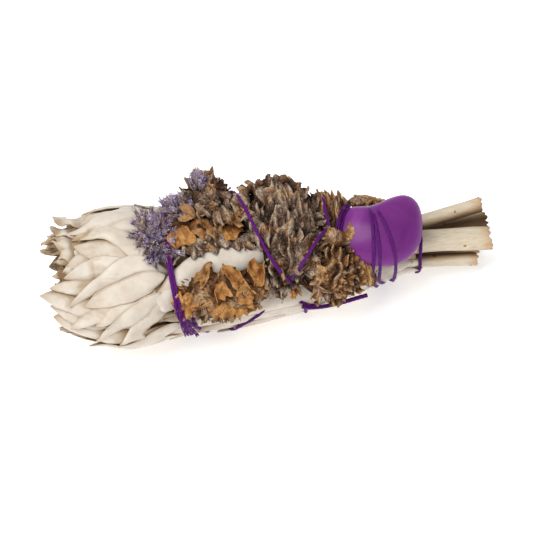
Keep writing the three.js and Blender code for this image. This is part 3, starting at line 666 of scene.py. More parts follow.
def stem_shape(k):
    """How a grid becomes one stem: its last fifth turns in over the cut end."""
    ends, radius, distance, leans, turns = STEMS[k]
    middle = SPRIGS[k][0]

    def shape(u, v):
        length = np.clip(v / 0.8, 0, 1)
        inward = np.clip((v - 0.8) / 0.2, 0, 1)
        x = STEM_FROM + (ends - STEM_FROM) * length
        out = np.clip((x - STEM_LEAVES_AT) / (ends - STEM_LEAVES_AT), 0, 1)
        centre = around(x, middle + turns * out, distance + leans * out)
        angle = np.pi * u
        bark = wobble(np.stack([x / 9, 2.2 * np.cos(angle), 2.2 * np.sin(angle)], 1), 1.0, 31 + k)
        girth = radius * (1 + 0.05 * np.cos(4 * angle + k) + 0.10 * bark) * (1 - 0.05 * (1 - out))
        girth = girth * (1 - inward * 0.94)
        torn = wobble(np.stack([2.6 * np.cos(angle), 2.6 * np.sin(angle), 0 * u + 3 * k], 1), 1.0, 50 + k)
        edge = length ** 14 * torn * 1.2 * (1 - inward) - inward * (1.3 + 0.5 * torn)
        points = centre + np.stack([edge, girth * np.cos(angle), girth * np.sin(angle)], 1)
        # Painted shade: darker on the flanks that face the neighbouring stems and where the end turns in.
        facing = np.cos(angle - np.radians(middle + turns * out))
        flank_shade[k] = np.clip(0.55 + 0.75 * facing - 0.5 * inward, 0, 1)
        return points, length

    return shape


stems = new_piece()
flank_shade = {}  # how far each point of a stem faces outward, and not towards its neighbours
# The stems' tone layer carries this painted shade.
for k in range(len(STEMS)):
    made = add_grid(stems, 32, 44, stem_shape(k))
    for vert, outward in zip(made, flank_shade[k]):
        vert[stems.verts.layers.float["tone"]] = outward
bmesh.ops.remove_doubles(stems, verts=stems.verts, dist=0.00002)
bmesh.ops.recalc_face_normals(stems, faces=stems.faces)

bark, tree, skin = new_finish("dried stem bark")
where = place_on(tree)
drawn = wired(tree, "Mapping", Vector=where, Scale=(0.12, 1, 1)).outputs[0]
fibres = noisy(tree, drawn, 2600.0, 4.0, 0.6)
blotch = noisy(tree, where, 420.0, 4.0, 0.6)
rust = wired(tree, "Group", {"node_tree": flecks}, Scale=520.0, Size=0.34, Share=0.09)
near_end = stretched(tree, painted(tree, "shade"), 0.86, 1.0, 1.0, smooth=True)
cream = ramp_of(tree, fibres, {0.25: "bfae92", 0.45: "cfc1aa", 0.7: "dbcfbb"})
torn = blended(tree, worked_out(tree, "MULTIPLY", near_end, blotch), cream, "b8854a")
stained = blended(tree, stretched(tree, blotch, 0.6, 0.78, 0.45), torn, "c39a5c")
spotted = blended(tree, rust.outputs["Mask"], stained, "b5762f")
# Painted shade: the colour is darkened by the tone layer, on the flanks between the stems and inside the cut
# ends.
between = ramp_of(tree, painted(tree, "tone"), {0.05: "6e573d", 0.4: "c9b79c", 0.85: "ffffff"})
tree.links.new(blended(tree, 1.0, spotted, between, "MULTIPLY"), skin.inputs["Base Color"])
tree.links.new(bumped(tree, fibres, 0.35, 0.0003), skin.inputs["Normal"])
skin.inputs["Roughness"].default_value = 0.72
skin.inputs["Specular IOR Level"].default_value = 0.35
finished(stems, "cut_stems", bark, "sage")

# ------------------------------------------------------------------------------------------------------------
# Dried flower heads
# Old flower heads of thin ruffled folds, grey-brown, ridged like bark and crowded over each other. They are
# held down only by the thread. Small round buds stand among the folds of the big ones.
# Shade is painted into the crevices between the folds, into their wrinkles and between their ridges.
FLOWER_HEADS = {  # x, degrees, long, wide, high, the way its folds run, how many folds, how brown
    "flower_head_left": (-15.6, 73, 11, 17, 8.2, 20, 44, 0.5),
    "flower_head_fringe": (-16.5, 107, 26, 5.4, 2.4, 0, 16, 0.2),
    "flower_head_centre": (3.2, 99, 21, 30, 9.8, -50, 80, 0.3),
    "flower_head_right": (13.0, 143, 20, 14, 5.6, -20, 56, 1.0),
    "flower_head_upper": (16, 89, 9, 13, 5.8, -80, 24, 1.0),
    "flower_head_by_stone": (28, 55, 15, 5, 2.0, 0, 14, 0.6),
}
UNDERSIDE = 0.5  # how high a heap starts over the leaves
GOLDEN = 2.39996  # the golden angle, which sets copies evenly
SPREAD = 0.76  # how far towards the rim they go
FOLD_THICK = 0.35


def over_leaves(place, along, arc, height):
    """Points in millimetres over the leaf layer: place is (x, degrees), arc goes round the bundle."""
    x = place[0] + along
    degrees = place[1] + np.degrees(arc / (bundle_radius(place[0]) + LEAF_LAYER))
    return around(x, degrees, bundle_radius(x) + LEAF_LAYER + height)


def crust(bm, place, long, wide, high, sweep, seed, rough=1.0, tone=0.5):
    """A crumpled heap of folds grown together: wrinkles of three sizes that run the way of sweep."""
    turn = math.radians(sweep)
    lies = {}

    def shape(u, v):
        angle, reach = np.pi * u, v ** 0.8
        a, b = reach * np.cos(angle) * long / 2, reach * np.sin(angle) * wide / 2
        flat = np.stack([a, b, 0 * u], 1)
        s = a * math.cos(turn) + b * math.sin(turn) + 2.4 * wobble(flat, 5.0, seed)
        t = b * math.cos(turn) - a * math.sin(turn) + 2.6 * wobble(flat, 4.0, seed + 2)
        lies["s"], lies["t"] = s, t
        big = 1 - 2.4 * np.abs(wobble(np.stack([s / 4.6, t / 2.8, 0 * u], 1), 1.0, seed + 4))
        middling = 1 - 2.4 * np.abs(wobble(np.stack([s / 2.4, t / 1.2, 0 * u + big], 1), 1.0, seed + 6))
        fine = 1 - 2.4 * np.abs(wobble(np.stack([s / 1.5, t / 0.42, 0 * u], 1), 1.0, seed + 8))
        rim = np.clip((1 - v) / 0.12, 0, 1)
        wrinkles = rough * (1.5 * big + 0.75 * middling + 0.2 * fine - 0.9)
        height = high * (1 - reach ** 2.6) + wrinkles * (0.4 + 0.6 * rim)
        a = a + (0.7 * big * math.sin(turn) + 0.5 * middling * math.cos(turn)) * rim
        b = b - (0.7 * big * math.cos(turn) - 0.5 * middling * math.sin(turn)) * rim
        # Painted shade: the hollows of the wrinkles are painted darker than their crests.
        shade = np.clip(0.62 + 0.22 * big + 0.26 * middling + 0.1 * fine, 0, 1)
        return over_leaves(place, a, b, np.where(v > 0.985, 0.1, np.maximum(0.3, UNDERSIDE + height))), shade

    across = int(min(230, 9 * (long + wide)))
    made = add_grid(bm, across, max(16, int(across / 5)), shape, tone=tone)
    uv_layer = bm.loops.layers.uv["UVMap"]
    for vert, s, t in zip(made, lies["s"], lies["t"]):
        for loop in vert.link_loops:
            loop[uv_layer].uv = (t / 8, s / 6)


def spots_over(long, wide, high, count, share):
    """Where copies sit on a heap, from its crown to its rim: reach, angle and (along, arc, height)."""
    for i in range(count):
        reach = math.sqrt((i + 0.5) / count)
        a = GOLDEN * i
        skin_height = high * share * (1 - 0.55 * reach * reach)
        yield reach, a, (SPREAD * reach * math.cos(a) * long / 2, SPREAD * reach * math.sin(a) * wide / 2,
                         UNDERSIDE + skin_height - 0.8)


def shifted(spot, draw, aside, lowest, highest):
    """The spot, moved a little by chance."""
    return (spot[0] + draw.uniform(-aside, aside), spot[1] + draw.uniform(-aside, aside),
            spot[2] + draw.uniform(lowest, highest))


def frill(bm, place, spot, lean, length, width, draw, rise, ridges, ridge, ruffle, crumple, tone, across,
          along, root=0.35, waves=2.0, cup=0.0):
    """A ruffled blade: lean is its direction over the leaves, rise its slope at the root and at the rim."""
    phase, seed = draw.uniform(0, 6.3), draw.uniform(0, 90)
    worn_at = draw.uniform(1.5, 3.5)
    steps = np.linspace(0, 1, 24)
    slopes = np.radians(rise[0] + (rise[1] - rise[0]) * steps)
    step = length / (len(steps) - 1)
    runs = np.concatenate([[0], np.cumsum(np.cos(slopes[:-1]))]) * step
    climbs = np.concatenate([[0], np.cumsum(np.sin(slopes[:-1]))]) * step

    def shape(u, v):
        slope = np.interp(v, steps, slopes)
        flare = root + (1 - root) * np.sqrt(np.clip(v * 1.6, 0, 1))
        half = width / 2 * flare * (1 - 0.35 * np.clip(v - 0.8, 0, 1))
        worn = 1 - 0.2 * np.abs(np.sin(worn_at * u + phase)) * v ** 3
        crossed = u + 0.14 * np.sin(4.3 * u + seed) + 0.07 * np.sin(6 * v + 3 * u + phase)
        uneven = 0.6 + 0.4 * np.sin(7 * u + 5 * v + seed)
        strands = np.cos(np.pi * ridges * crossed + 1.6 * np.sin(3 * v + phase)) * uneven
        waving = ruffle * v * np.sin(np.pi * waves * u + phase + v)
        out = waving + ridge * strands + cup * half * u * u
        run = np.interp(v * worn, steps, runs) - np.sin(slope) * out
        climb = np.interp(v * worn, steps, climbs) + np.cos(slope) * out
        a = spot[0] + math.cos(lean) * run - math.sin(lean) * half * u
        b = spot[1] + math.sin(lean) * run + math.cos(lean) * half * u
        height = spot[2] + climb
        at = np.stack([a, b, height], 1)
        a = a + crumple * wobble(at, 1.8, seed)
        b = b + crumple * wobble(at, 1.8, seed + 3)
        height = height + crumple * wobble(at, 1.8, seed + 5) + 0.5 * crumple * wobble(at, 0.7, seed + 8)
        # Painted shade: the grooves between the ridges are painted a little darker than their crests.
        return over_leaves(place, a, b, np.maximum(0.1, height)), 0.92 + 0.08 * strands

    add_grid(bm, across, along, shape, tone=tone)


def bud(bm, place, spot, size):
    """A small round bud, a little shrivelled."""
    centre = over_leaves(place, np.array([spot[0]]), np.array([spot[1]]), np.array([spot[2]]))[0]
    ball = bmesh.ops.create_uvsphere(bm, u_segments=12, v_segments=8, radius=size * MM)["verts"]
    for vert in ball:
        vert.co += Vector(vert.co.normalized() * noise.noise(vert.co * 900) * 0.35 * size * MM)
        vert.co += Vector(centre * MM)
        vert[bm.verts.layers.float["shade"]] = 0.75
        vert[bm.verts.layers.float["tone"]] = 0.4


# The folds that show best, placed one by one: x, degrees, height, the way they lean (0 is along the stick, 90
# is down the front), length, width, slopes at root and rim, ruffle, waves, ridges and how deep these are.
SHOWN_FOLDS = {
    "flower_head_left": [
        (-19, 84, 5.6, 60, 4.5, 5.0, 40, -60, 0.6, 1.7, 11, 0.10),
        (-14, 88, 5.6, 80, 5.0, 5.5, 35, -60, 0.7, 2.2, 13, 0.10),
        (-10, 82, 5.6, 50, 5.0, 5.0, 30, -60, 0.6, 1.7, 11, 0.10),
    ],
    "flower_head_fringe": [
        (-26.5, 108, 1.2, 150, 4.6, 5.0, 30, -30, 0.7, 2.0, 11, 0.08),
        (-23, 107, 1.6, 110, 3.8, 6.0, 35, -40, 0.7, 2.3, 15, 0.08),
        (-18, 105, 1.6, 80, 4.2, 8.0, 40, -30, 0.5, 2.0, 17, 0.08),
        (-12.5, 104, 2.0, 100, 4.2, 8.0, 40, -30, 0.6, 2.5, 17, 0.08),
        (-8, 105, 2.2, 70, 4.2, 6.0, 40, -35, 0.6, 2.2, 13, 0.08),
    ],
    "flower_head_centre": [
        (0.5, 96, 6.6, -12, 9.5, 10.5, 24, -35, 0.6, 1.8, 23, 0.09),
        (-2.0, 92, 7.2, -50, 6.5, 7.0, 30, -60, 0.8, 2.6, 15, 0.09),
        (-5.0, 97, 6.2, 150, 5.0, 6.0, 40, -70, 0.8, 2.4, 13, 0.09),
        (-5.0, 80, 5.0, -150, 4.4, 6.0, 50, -70, 0.8, 2.4, 13, 0.09),
        (-1.5, 77, 6.0, -100, 4.4, 6.0, 50, -70, 0.8, 2.4, 13, 0.09),
        (-5.0, 131, 1.8, 100, 5.0, 6.5, 25, -35, 0.7, 2.0, 11, 0.10),
        (-2.0, 132, 2.2, 80, 5.0, 6.5, 25, -35, 0.7, 2.0, 11, 0.10),
        (-4.0, 103, 6.0, 95, 5.5, 7.0, 35, -60, 0.8, 2.6, 15, 0.09),
        (1.0, 104, 6.2, 60, 8.0, 4.4, 25, -40, 0.5, 1.4, 11, 0.10),
        (4.0, 105, 5.6, 50, 8.0, 4.0, 22, -40, 0.5, 1.4, 11, 0.10),
        (2.5, 82, 8.0, -70, 5.0, 6.0, 40, -70, 0.8, 2.4, 15, 0.09),
        (6.5, 86, 7.4, -60, 5.0, 6.0, 35, -70, 0.8, 2.4, 15, 0.09),
        (-1.5, 118, 4.0, 85, 6.0, 7.0, 20, -35, 0.6, 1.8, 17, 0.09),
        (-5.0, 142, 0.8, 95, 5.5, 7.5, 32, -25, 0.5, 1.8, 11, 0.20),
        (0.0, 146, 0.8, 80, 4.5, 6.0, 32, -25, 0.5, 1.8, 9, 0.20),
    ],
    "flower_head_right": [
        (13.0, 123, 4.0, -95, 4.4, 14.0, 65, -30, 0.7, 2.4, 25, 0.07),
        (20.2, 133, 4.4, 82, 7.5, 5.6, 12, -25, 0.4, 1.3, 10, 0.18),
        (8.5, 137, 3.8, 175, 4.0, 5.5, 40, -60, 0.8, 2.0, 11, 0.09),
        (12.0, 140, 4.2, -60, 4.5, 6.0, 45, -60, 0.8, 2.2, 11, 0.09),
        (15.5, 146, 3.6, 60, 4.5, 5.5, 40, -50, 0.7, 2.0, 11, 0.09),
        (9.0, 151, 3.0, 100, 4.5, 6.5, 35, -50, 0.7, 2.4, 13, 0.09),
    ],
    "flower_head_upper": [
        (13.5, 96, 3.6, -75, 5.5, 3.6, 30, -30, 0.5, 1.2, 7, 0.10),
        (16.5, 93, 3.8, -65, 5.5, 3.6, 30, -30, 0.5, 1.2, 7, 0.10),
    ],
    "flower_head_by_stone": [],
}


def lies_under(spot, fold, x, degrees):
    """Whether a spot on a head at x and degrees is under one of the folds that show best."""
    fold_x, fold_degrees, _, lean, length, width = fold[:6]
    arc = math.radians(fold_degrees - degrees) * (bundle_radius(x) + LEAF_LAYER)
    middle = (fold_x - x + math.cos(math.radians(lean)) * length * 0.5,
              arc + math.sin(math.radians(lean)) * length * 0.5)
    return math.dist(spot[:2], middle) < width * 0.36


heads = {}
for index, (name, (x, degrees, long, wide, high, sweep, folds, brownness)) in enumerate(FLOWER_HEADS.items()):
    draw = random.Random(300 + index)
    bm = heads[name] = new_piece()
    place = (x, degrees)
    crust(bm, place, long * 0.95, wide * 0.95, high * 0.86, sweep, 10 * index,
          rough=min(1, 0.35 + high / 10), tone=brownness)
    size = min(0.9, 0.5 + wide / 30)
    for reach, a, spot in spots_over(long, wide, high, folds, 0.84):
        veer = math.radians(sweep) + noise.noise(Vector((spot[0] / 5, spot[1] / 5, index))) * 2.6
        outward = reach ** 3 * 1.3
        lean = math.atan2(math.sin(a) * outward + math.sin(veer), math.cos(a) * outward + math.cos(veer))
        spot = shifted(spot, draw, 0.7, -0.9, 0.3)
        curl = 48 - 18 * reach + draw.uniform(-28, 34)
        if any(lies_under(spot, fold, x, degrees) for fold in SHOWN_FOLDS[name]):
            spot = (spot[0], spot[1], spot[2] - 1.0)
        if draw.random() < 0.7:  # most folds are broad bands, the others narrower blades
            frill(bm, place, spot, lean, size * draw.uniform(2.2, 3.8), size * draw.uniform(5.0, 9.5), draw,
                  rise=(curl + 15, curl - draw.uniform(60, 120)), root=0.7, ridges=draw.choice([9, 11, 13]),
                  ridge=0.10, across=40, along=8, ruffle=draw.uniform(0.5, 1.1), waves=draw.uniform(2, 4.5),
                  crumple=draw.uniform(0.4, 0.9), tone=brownness + draw.uniform(-0.3, 0.3))
        else:
            frill(bm, place, spot, lean, size * draw.uniform(3.0, 5.2), size * draw.uniform(3.0, 5.6), draw,
                  rise=(curl, curl - draw.uniform(60, 130)), ridges=draw.choice([7, 9]), ridge=0.10,
                  across=26, along=10, ruffle=draw.uniform(0.4, 1.1), waves=draw.uniform(1.0, 2.8),
                  crumple=draw.uniform(0.6, 1.1), tone=brownness + draw.uniform(-0.3, 0.3))
    for (fold_x, fold_degrees, height, lean, length, width, root_rise, rim_rise, ruffle, waves, ridges,
         ridge) in SHOWN_FOLDS[name]:
        frill(bm, (fold_x, fold_degrees), (0, 0, height), math.radians(lean), length, width, draw,
              rise=(root_rise, rim_rise), root=0.5, ruffle=ruffle, waves=waves, ridges=ridges, ridge=ridge,
              across=44, along=11, crumple=0.7, tone=brownness)
BUDS = [  # x, degrees, height, size
    (-4.2, 74, 6.2, 1.1),
    (-1.4, 73, 7.2, 0.9),
    (4.5, 77, 9.6, 1.35),
    (1.2, 74, 8.6, 0.9),
]
for x, degrees, height, size in BUDS:
    bud(heads["flower_head_centre"], (x, degrees), (0, 0, height), size)
for bm in heads.values():
    paint_crevice_shade(bm, 0.55, 1.0, 0.1)

petal, tree, skin = new_finish("dried flower fold")
where = place_on(tree)
uv = wired(tree, "UVMap", {"uv_map": "UVMap"}).outputs["UV"]
combed = wired(tree, "Mapping", Vector=uv, Scale=(24.0, 2.0, 1.0)).outputs[0]
grain = noisy(tree, combed, 1.0, 5.0, 0.65, distortion=1.6)
blotch = noisy(tree, where, 300.0, 4.0, 0.6)
crumbs = noisy(tree, where, 2400.0, 3.0, 0.7)
grains = worked_out(tree, "MULTIPLY_ADD", grain, 0.7, crumbs)
contrast = worked_out(tree, "MULTIPLY_ADD", grains, 1.15, -0.96)
# The lightness follows the painted shade of the crevices, wrinkles and ridges, with grain.
level = worked_out(tree, "MULTIPLY_ADD", painted(tree, "shade"), 0.72, contrast, clamp=True)
grey = ramp_of(tree, level, {0.08: "1a120d", 0.32: "574539", 0.6: "937e6d", 0.9: "ddcebb"})
brown = ramp_of(tree, level, {0.08: "190f09", 0.32: "5a3b25", 0.6: "94683f", 0.9: "dcb988"})
patches = worked_out(tree, "MULTIPLY_ADD", painted(tree, "tone"), 0.18, blotch)
both = blended(tree, stretched(tree, patches, 0.52, 0.7, 1.0), grey, brown)
tree.links.new(both, skin.inputs["Base Color"])
tree.links.new(bumped(tree, grains, 0.9, 0.0004), skin.inputs["Normal"])
skin.inputs["Roughness"].default_value = 0.9
skin.inputs["Specular IOR Level"].default_value = 0.15
for name, bm in heads.items():
    finished(bm, name.replace("flower_head", "dried_flower"), petal, "dried_flower", [name],
             thick=FOLD_THICK)

# ------------------------------------------------------------------------------------------------------------
# Ochre petals
# Papery dried petals in two loose heaps, ochre to rusty brown, crumpled and veined. They lie on a crust of
# smaller pressed petals, and the thread holds each heap down.
# Shade is painted into the crevices of the crust and between the petals.
PETAL_HEAPS = {  # x, degrees, long, wide, high, how many petals
    "ochre_petals_upper": (-17.6, 94, 20, 9, 3.6, 70),
    "ochre_petals_lower": (-17, 147, 26, 12.5, 4.6, 90),
}
PETAL_THICK = 0.16
# The petals that show best, placed one by one: x, degrees, height, the way they lean, length, width, slopes
# at root and rim, cup and tone.
SHOWN_PETALS = {
    "ochre_petals_upper": [
        (-25.5, 95.5, 2.6, 85, 5.2, 7.2, 20, -18, 0.10, 0.9),
        (-22.0, 96, 2.6, 20, 4.4, 5.0, 30, -20, 0.2, 0.6),
        (-12.8, 97, 3.2, 70, 4.4, 5.4, 20, -20, 0.1, 0.8),
        (-17.5, 92, 3.4, 60, 5.0, 5.5, 25, -15, 0.2, 0.55),
        (-12, 91, 3.8, 30, 5.0, 5.0, 30, -15, 0.2, 0.5),
        (-20, 90, 3.4, -160, 4.6, 4.8, 30, -15, 0.2, 0.5),
    ],
    "ochre_petals_lower": [
        (-19.2, 123.5, 2.6, 140, 6.4, 2.4, 15, -5, 0.5, 0.6),
        (-16.2, 126, 2.8, 52, 7.0, 3.0, 15, -5, 0.6, 0.9),
        (-12.4, 137, 3.4, 60, 5.0, 2.6, 10, -15, 0.5, 0.6),
        (-8.2, 144, 2.6, -88, 6.6, 4.4, 14, 6, 0.45, 0.85),
        (-18.0, 137, 3.2, 80, 3.8, 4.4, 30, 5, 0.5, 0.9),
        (-23.5, 134, 2.0, 30, 5.4, 3.6, 20, -10, 0.3, 0.5),
        (-27.2, 150, 1.6, 200, 3.8, 3.6, 30, -20, 0.2, 0.95),
        (-27.2, 150, 1.8, 268, 3.4, 3.6, 35, -10, 0.2, 0.95),
        (-27.2, 150, 1.8, 330, 3.6, 3.8, 30, -15, 0.2, 0.95),
        (-27.2, 150, 1.6, 50, 3.6, 3.6, 25, -25, 0.2, 0.95),
        (-27.2, 150, 1.6, 125, 3.8, 3.8, 25, -25, 0.2, 0.95),
        (-16.5, 151, 2.2, 110, 5.6, 5.0, 20, -25, 0.2, 0.95),
        (-14.0, 151, 2.2, 60, 5.4, 5.0, 20, -25, 0.2, 0.9),
        (-18.0, 150, 2.2, 150, 4.6, 4.4, 25, -20, 0.2, 0.8),
        (-14.5, 149, 2.8, -10, 5.0, 4.6, 20, -20, 0.3, 0.9),
        (1.0, 153, 1.6, 80, 1.8, 1.4, 25, -30, 0.2, 0.8),
        (2.4, 154, 1.6, 40, 1.6, 1.2, 25, -30, 0.2, 0.7),
    ],
}
heaps = {}
for index, (name, (x, degrees, long, wide, high, petals)) in enumerate(PETAL_HEAPS.items()):
    draw = random.Random(400 + index)
    bm = heaps[name] = new_piece()
    crust(bm, (x, degrees), long, wide, high * 0.5, 30, 200 + 10 * index, rough=0.6, tone=0.35)
    for reach, a, spot in spots_over(long, wide, high, petals, 0.4):
        spot = shifted(spot, draw, 0.8, -0.6, 0.1)
        curl = 15 + draw.uniform(-20, 35)
        lean = a + draw.uniform(-2.6, 2.6)
        frill(bm, (x, degrees), spot, lean, draw.uniform(2.2, 4.4), draw.uniform(1.8, 4.4), draw,
              rise=(curl + draw.uniform(-10, 20), curl - draw.uniform(10, 70)), ridges=4, ridge=0.05,
              ruffle=draw.uniform(0.2, 0.6), cup=draw.uniform(-0.2, 0.3), crumple=0.9, across=14, along=12,
              tone=draw.uniform(0.0, 0.8))
    for (petal_x, petal_degrees, height, lean, length, width, root_rise, rim_rise, cup,
         tone) in SHOWN_PETALS[name]:
        frill(bm, (petal_x, petal_degrees), (0, 0, height), math.radians(lean), length, width, draw,
              rise=(root_rise, rim_rise), root=0.22, ruffle=0.35, ridges=7, ridge=0.05, cup=cup,
              crumple=0.75, across=24, along=18, tone=tone)
    paint_crevice_shade(bm, 0.55, 1.3, 0.1)

papery, tree, skin = new_finish("papery ochre petal")
where = place_on(tree)
cells = wired(tree, "TexVoronoi", {"feature": "DISTANCE_TO_EDGE"}, Vector=where, Scale=1500.0)
blotch = noisy(tree, where, 420.0, 5.0, 0.65)
crepe = noisy(tree, where, 2400.0, 4.0, 0.6)
crumpled = worked_out(tree, "MULTIPLY_ADD", crepe, 0.9, -0.67)
level = worked_out(tree, "MULTIPLY_ADD", blotch, 1.4, crumpled, clamp=True)
gold = ramp_of(tree, level, {0.1: "774a24", 0.4: "b27b42", 0.65: "cb985a", 0.95: "e2c08f"})
rusty = ramp_of(tree, level, {0.1: "503c2e", 0.5: "9c7f63", 0.9: "cfb798"})
both = blended(tree, stretched(tree, painted(tree, "tone"), 0.25, 0.75, 1.0), rusty, gold)
# Painted shade: the petals are darkened where the painted shade is low, in the crevices of the heaps.
painted_shade = ramp_of(tree, painted(tree, "shade"), {0.0: "3a2a1e", 0.4: "b39d88", 0.8: "ffffff"})
tree.links.new(blended(tree, 1.0, both, painted_shade, "MULTIPLY"), skin.inputs["Base Color"])
veined = bumped(tree, cells.outputs["Distance"], 0.4, 0.0003)
tree.links.new(bumped(tree, crepe, 0.9, 0.0005, veined), skin.inputs["Normal"])
skin.inputs["Roughness"].default_value = 0.8
skin.inputs["Specular IOR Level"].default_value = 0.25
for name, bm in heaps.items():
    finished(bm, name.replace("ochre", "papery"), papery, "ochre_petal", [name], thick=PETAL_THICK)

# ------------------------------------------------------------------------------------------------------------
# Lavender
# Two short sprays of dried lavender tucked under the thread: small ribbed florets, violet and fuzzy, browned
# where they wilt. A tuft of the second one stands on the left flower head.
# Shade is painted at the florets' bases, into the crevices between them and on the dark heap under them.
LAVENDER_SPRAYS = {  # x, degrees, long, wide, high, how many florets
    "lavender_spray_front": (-31.6, 98, 8.6, 14, 4.2, 140),
    "lavender_spray_top": (-21.6, 74, 11, 9, 3.2, 90),
}
TUFT_AT, TUFT_FLORETS = (-17.0, 69), 34
FLORET_THICK = 0.12


def mound(bm, place, long, wide, high):
    """The low heap under the florets, painted dark as the shade among them."""

    def shape(u, v):
        angle, reach = np.pi * u, v * 0.9
        a, b = reach * np.cos(angle) * long / 2, reach * np.sin(angle) * wide / 2
        rise = high * (1 - reach ** 2.4) * 0.96 + 0.25 * wobble(np.stack([a, b, 0 * u], 1), 1.6, 3)
        return over_leaves(place, a, b, np.where(v > 0.99, 0.1, UNDERSIDE + rise)), 0.1 + 0 * u

    add_grid(bm, 28, 10, shape, tone=0.0)


def floret_pattern(draw):
    """A ribbed floret 1 high and about 1 across, with short hairs, as a mesh to be repeated."""
    bm = new_piece()
    shade = bm.verts.layers.float["shade"]
    made = bmesh.ops.create_cone(bm, cap_ends=True, segments=8, radius1=0.35, radius2=0.8, depth=1)["verts"]
    phase = draw.uniform(0, 6)
    for vert in made:
        angle = math.atan2(vert.co.y, vert.co.x)
        mouth = vert.co.z > 0
        vert.co.z += 0.5 + (0.14 * math.cos(4 * angle) if mouth else 0)
        vert.co.xy *= 1 + (0.35 * math.cos(5 * angle + phase) if mouth else 0.5)
        # Painted shade: the floret is darker at its base than at its mouth.
        vert[shade] = 1.0 if mouth else 0.5
    for _ in range(22):
        high, angle = draw.uniform(0.1, 1.0), draw.uniform(0, 6.3)
        root = Vector((math.cos(angle), math.sin(angle), 0)) * (0.45 + 0.35 * high) + Vector((0, 0, high))
        out = Vector((math.cos(angle), math.sin(angle), draw.uniform(0.1, 0.8)))
        hair = bmesh.ops.create_cone(bm, cap_ends=False, segments=3, radius1=0.14, radius2=0.02,
                                     depth=draw.uniform(0.7, 1.4))["verts"]
        lie = out.to_track_quat("Z", "Y").to_matrix()
        for vert in hair:
            vert.co = root + lie @ (vert.co + Vector((0, 0, 0.4)))
            vert[shade] = 1.0
    mesh = bpy.data.meshes.new("floret")
    bm.to_mesh(mesh)
    bm.free()
    return mesh


def floret(bm, pattern, place, spot, tilt, length, girth, draw):
    """A copy of a floret, stood on the leaves at a spot and leaned by tilt."""
    ends = np.array([spot, (spot[0] + tilt[0], spot[1] + tilt[1], spot[2] + length)])
    base, top = over_leaves(place, ends[:, 0], ends[:, 1], ends[:, 2])
    along = Vector(top - base)
    turn = along.to_track_quat("Z", "Y") @ Quaternion((0, 0, 1), draw.uniform(0, 6.3))
    before = len(bm.verts)
    bm.from_mesh(pattern)
    bm.verts.ensure_lookup_table()
    wilts, tone = draw.uniform(0.6, 1.0), draw.random()
    sized = Matrix.LocRotScale(Vector(base) * MM, turn, Vector((girth, girth, along.length)) * MM)
    for vert in bm.verts[before:]:
        vert.co = sized @ vert.co
        vert[bm.verts.layers.float["shade"]] *= wilts
        vert[bm.verts.layers.float["tone"]] = tone


sprays = {}
floret_patterns = [floret_pattern(random.Random(90 + i)) for i in range(5)]
for index, (name, (x, degrees, long, wide, high, florets)) in enumerate(LAVENDER_SPRAYS.items()):
    draw = random.Random(500 + index)
    bm = sprays[name] = new_piece()
    mound(bm, (x, degrees), long * 0.9, wide * 0.9, high * 0.4)
    for reach, a, spot in spots_over(long, wide, high, florets, 0.5):
        tilt = (1.6 * reach * math.cos(a) + draw.uniform(-1.2, 1.2),
                1.6 * reach * math.sin(a) + draw.uniform(-1.2, 1.2))
        spot = shifted(spot, draw, 0.7, -1.2, 0.6)
        floret(bm, draw.choice(floret_patterns), (x, degrees), spot, tilt, draw.uniform(1.2, 2.2),
               draw.uniform(0.36, 0.55), draw)
    if name == "lavender_spray_top":
        for _ in range(TUFT_FLORETS):
            spot = (draw.gauss(0, 1.0), draw.gauss(0, 1.0), draw.uniform(5.8, 8.0))
            pattern = draw.choice(floret_patterns)
            tilt = (draw.uniform(-0.8, 0.8), draw.uniform(-0.8, 0.8))
            floret(bm, pattern, TUFT_AT, spot, tilt, draw.uniform(1.2, 2.0), draw.uniform(0.34, 0.5), draw)
    paint_crevice_shade(bm, 0.5, 1.1, 0.25)

violet, tree, skin = new_finish("dried lavender")
where = place_on(tree)
fuzz = noisy(tree, where, 2600.0, 4.0, 0.7)
wilt = noisy(tree, where, 420.0, 3.0, 0.6)
contrast = worked_out(tree, "MULTIPLY_ADD", fuzz, 0.9, -0.45)
# The lightness follows the painted shade of the florets and the heap, with fuzz.
level = worked_out(tree, "ADD", painted(tree, "shade"), contrast, clamp=True)
purple = ramp_of(tree, level, {0.1: "4b3a48", 0.4: "907ba2", 0.72: "bea9c8", 1.0: "e8dce8"})
wilted = ramp_of(tree, level, {0.05: "4a382a", 0.5: "a3866f", 0.95: "d6c2a8"})
both = blended(tree, stretched(tree, wilt, 0.46, 0.6, 0.9), purple, wilted)
tree.links.new(both, skin.inputs["Base Color"])
tree.links.new(bumped(tree, fuzz, 0.7, 0.0003), skin.inputs["Normal"])
skin.inputs["Roughness"].default_value = 0.9
skin.inputs["Sheen Weight"].default_value = 0.4
skin.inputs["Specular IOR Level"].default_value = 0.15
for name, bm in sprays.items():
    finished(bm, name.replace("spray", "florets"), violet, "lavender", [name], thick=FLORET_THICK)

# ------------------------------------------------------------------------------------------------------------
# The tumbled stone
# A tumbled and polished stone, purple and a little translucent, shaped like a kidney with a notch in its
# upper edge. It is tied on by thread that crosses it three times.
STONE_X, STONE_DEGREES = 26.8, 114
STONE_THICK, STONE_SINK = 11.0, 1.0  # it is pressed that far into the leaf layer
STONE_REACH = 8.8  # its mean reach, which the outline fades to at its middle
STONE_OUTLINE = [  # millimetres along the stick and up the face, round from the stem end
    (11.4, 0.4), (11.9, 3.6), (11.5, 6.4), (10.0, 8.4), (7.4, 9.0), (4.4, 8.5), (1.4, 7.7), (-1.6, 7.4),
    (-4.6, 8.0), (-7.8, 7.8), (-10.6, 5.8), (-12.0, 2.2), (-11.4, -1.8), (-9.6, -4.8), (-6.6, -7.0),
    (-2.6, -8.4), (1.5, -9.2), (3.4, -8.8), (6.2, -7.9), (8.6, -6.0), (10.5, -3.0),
]
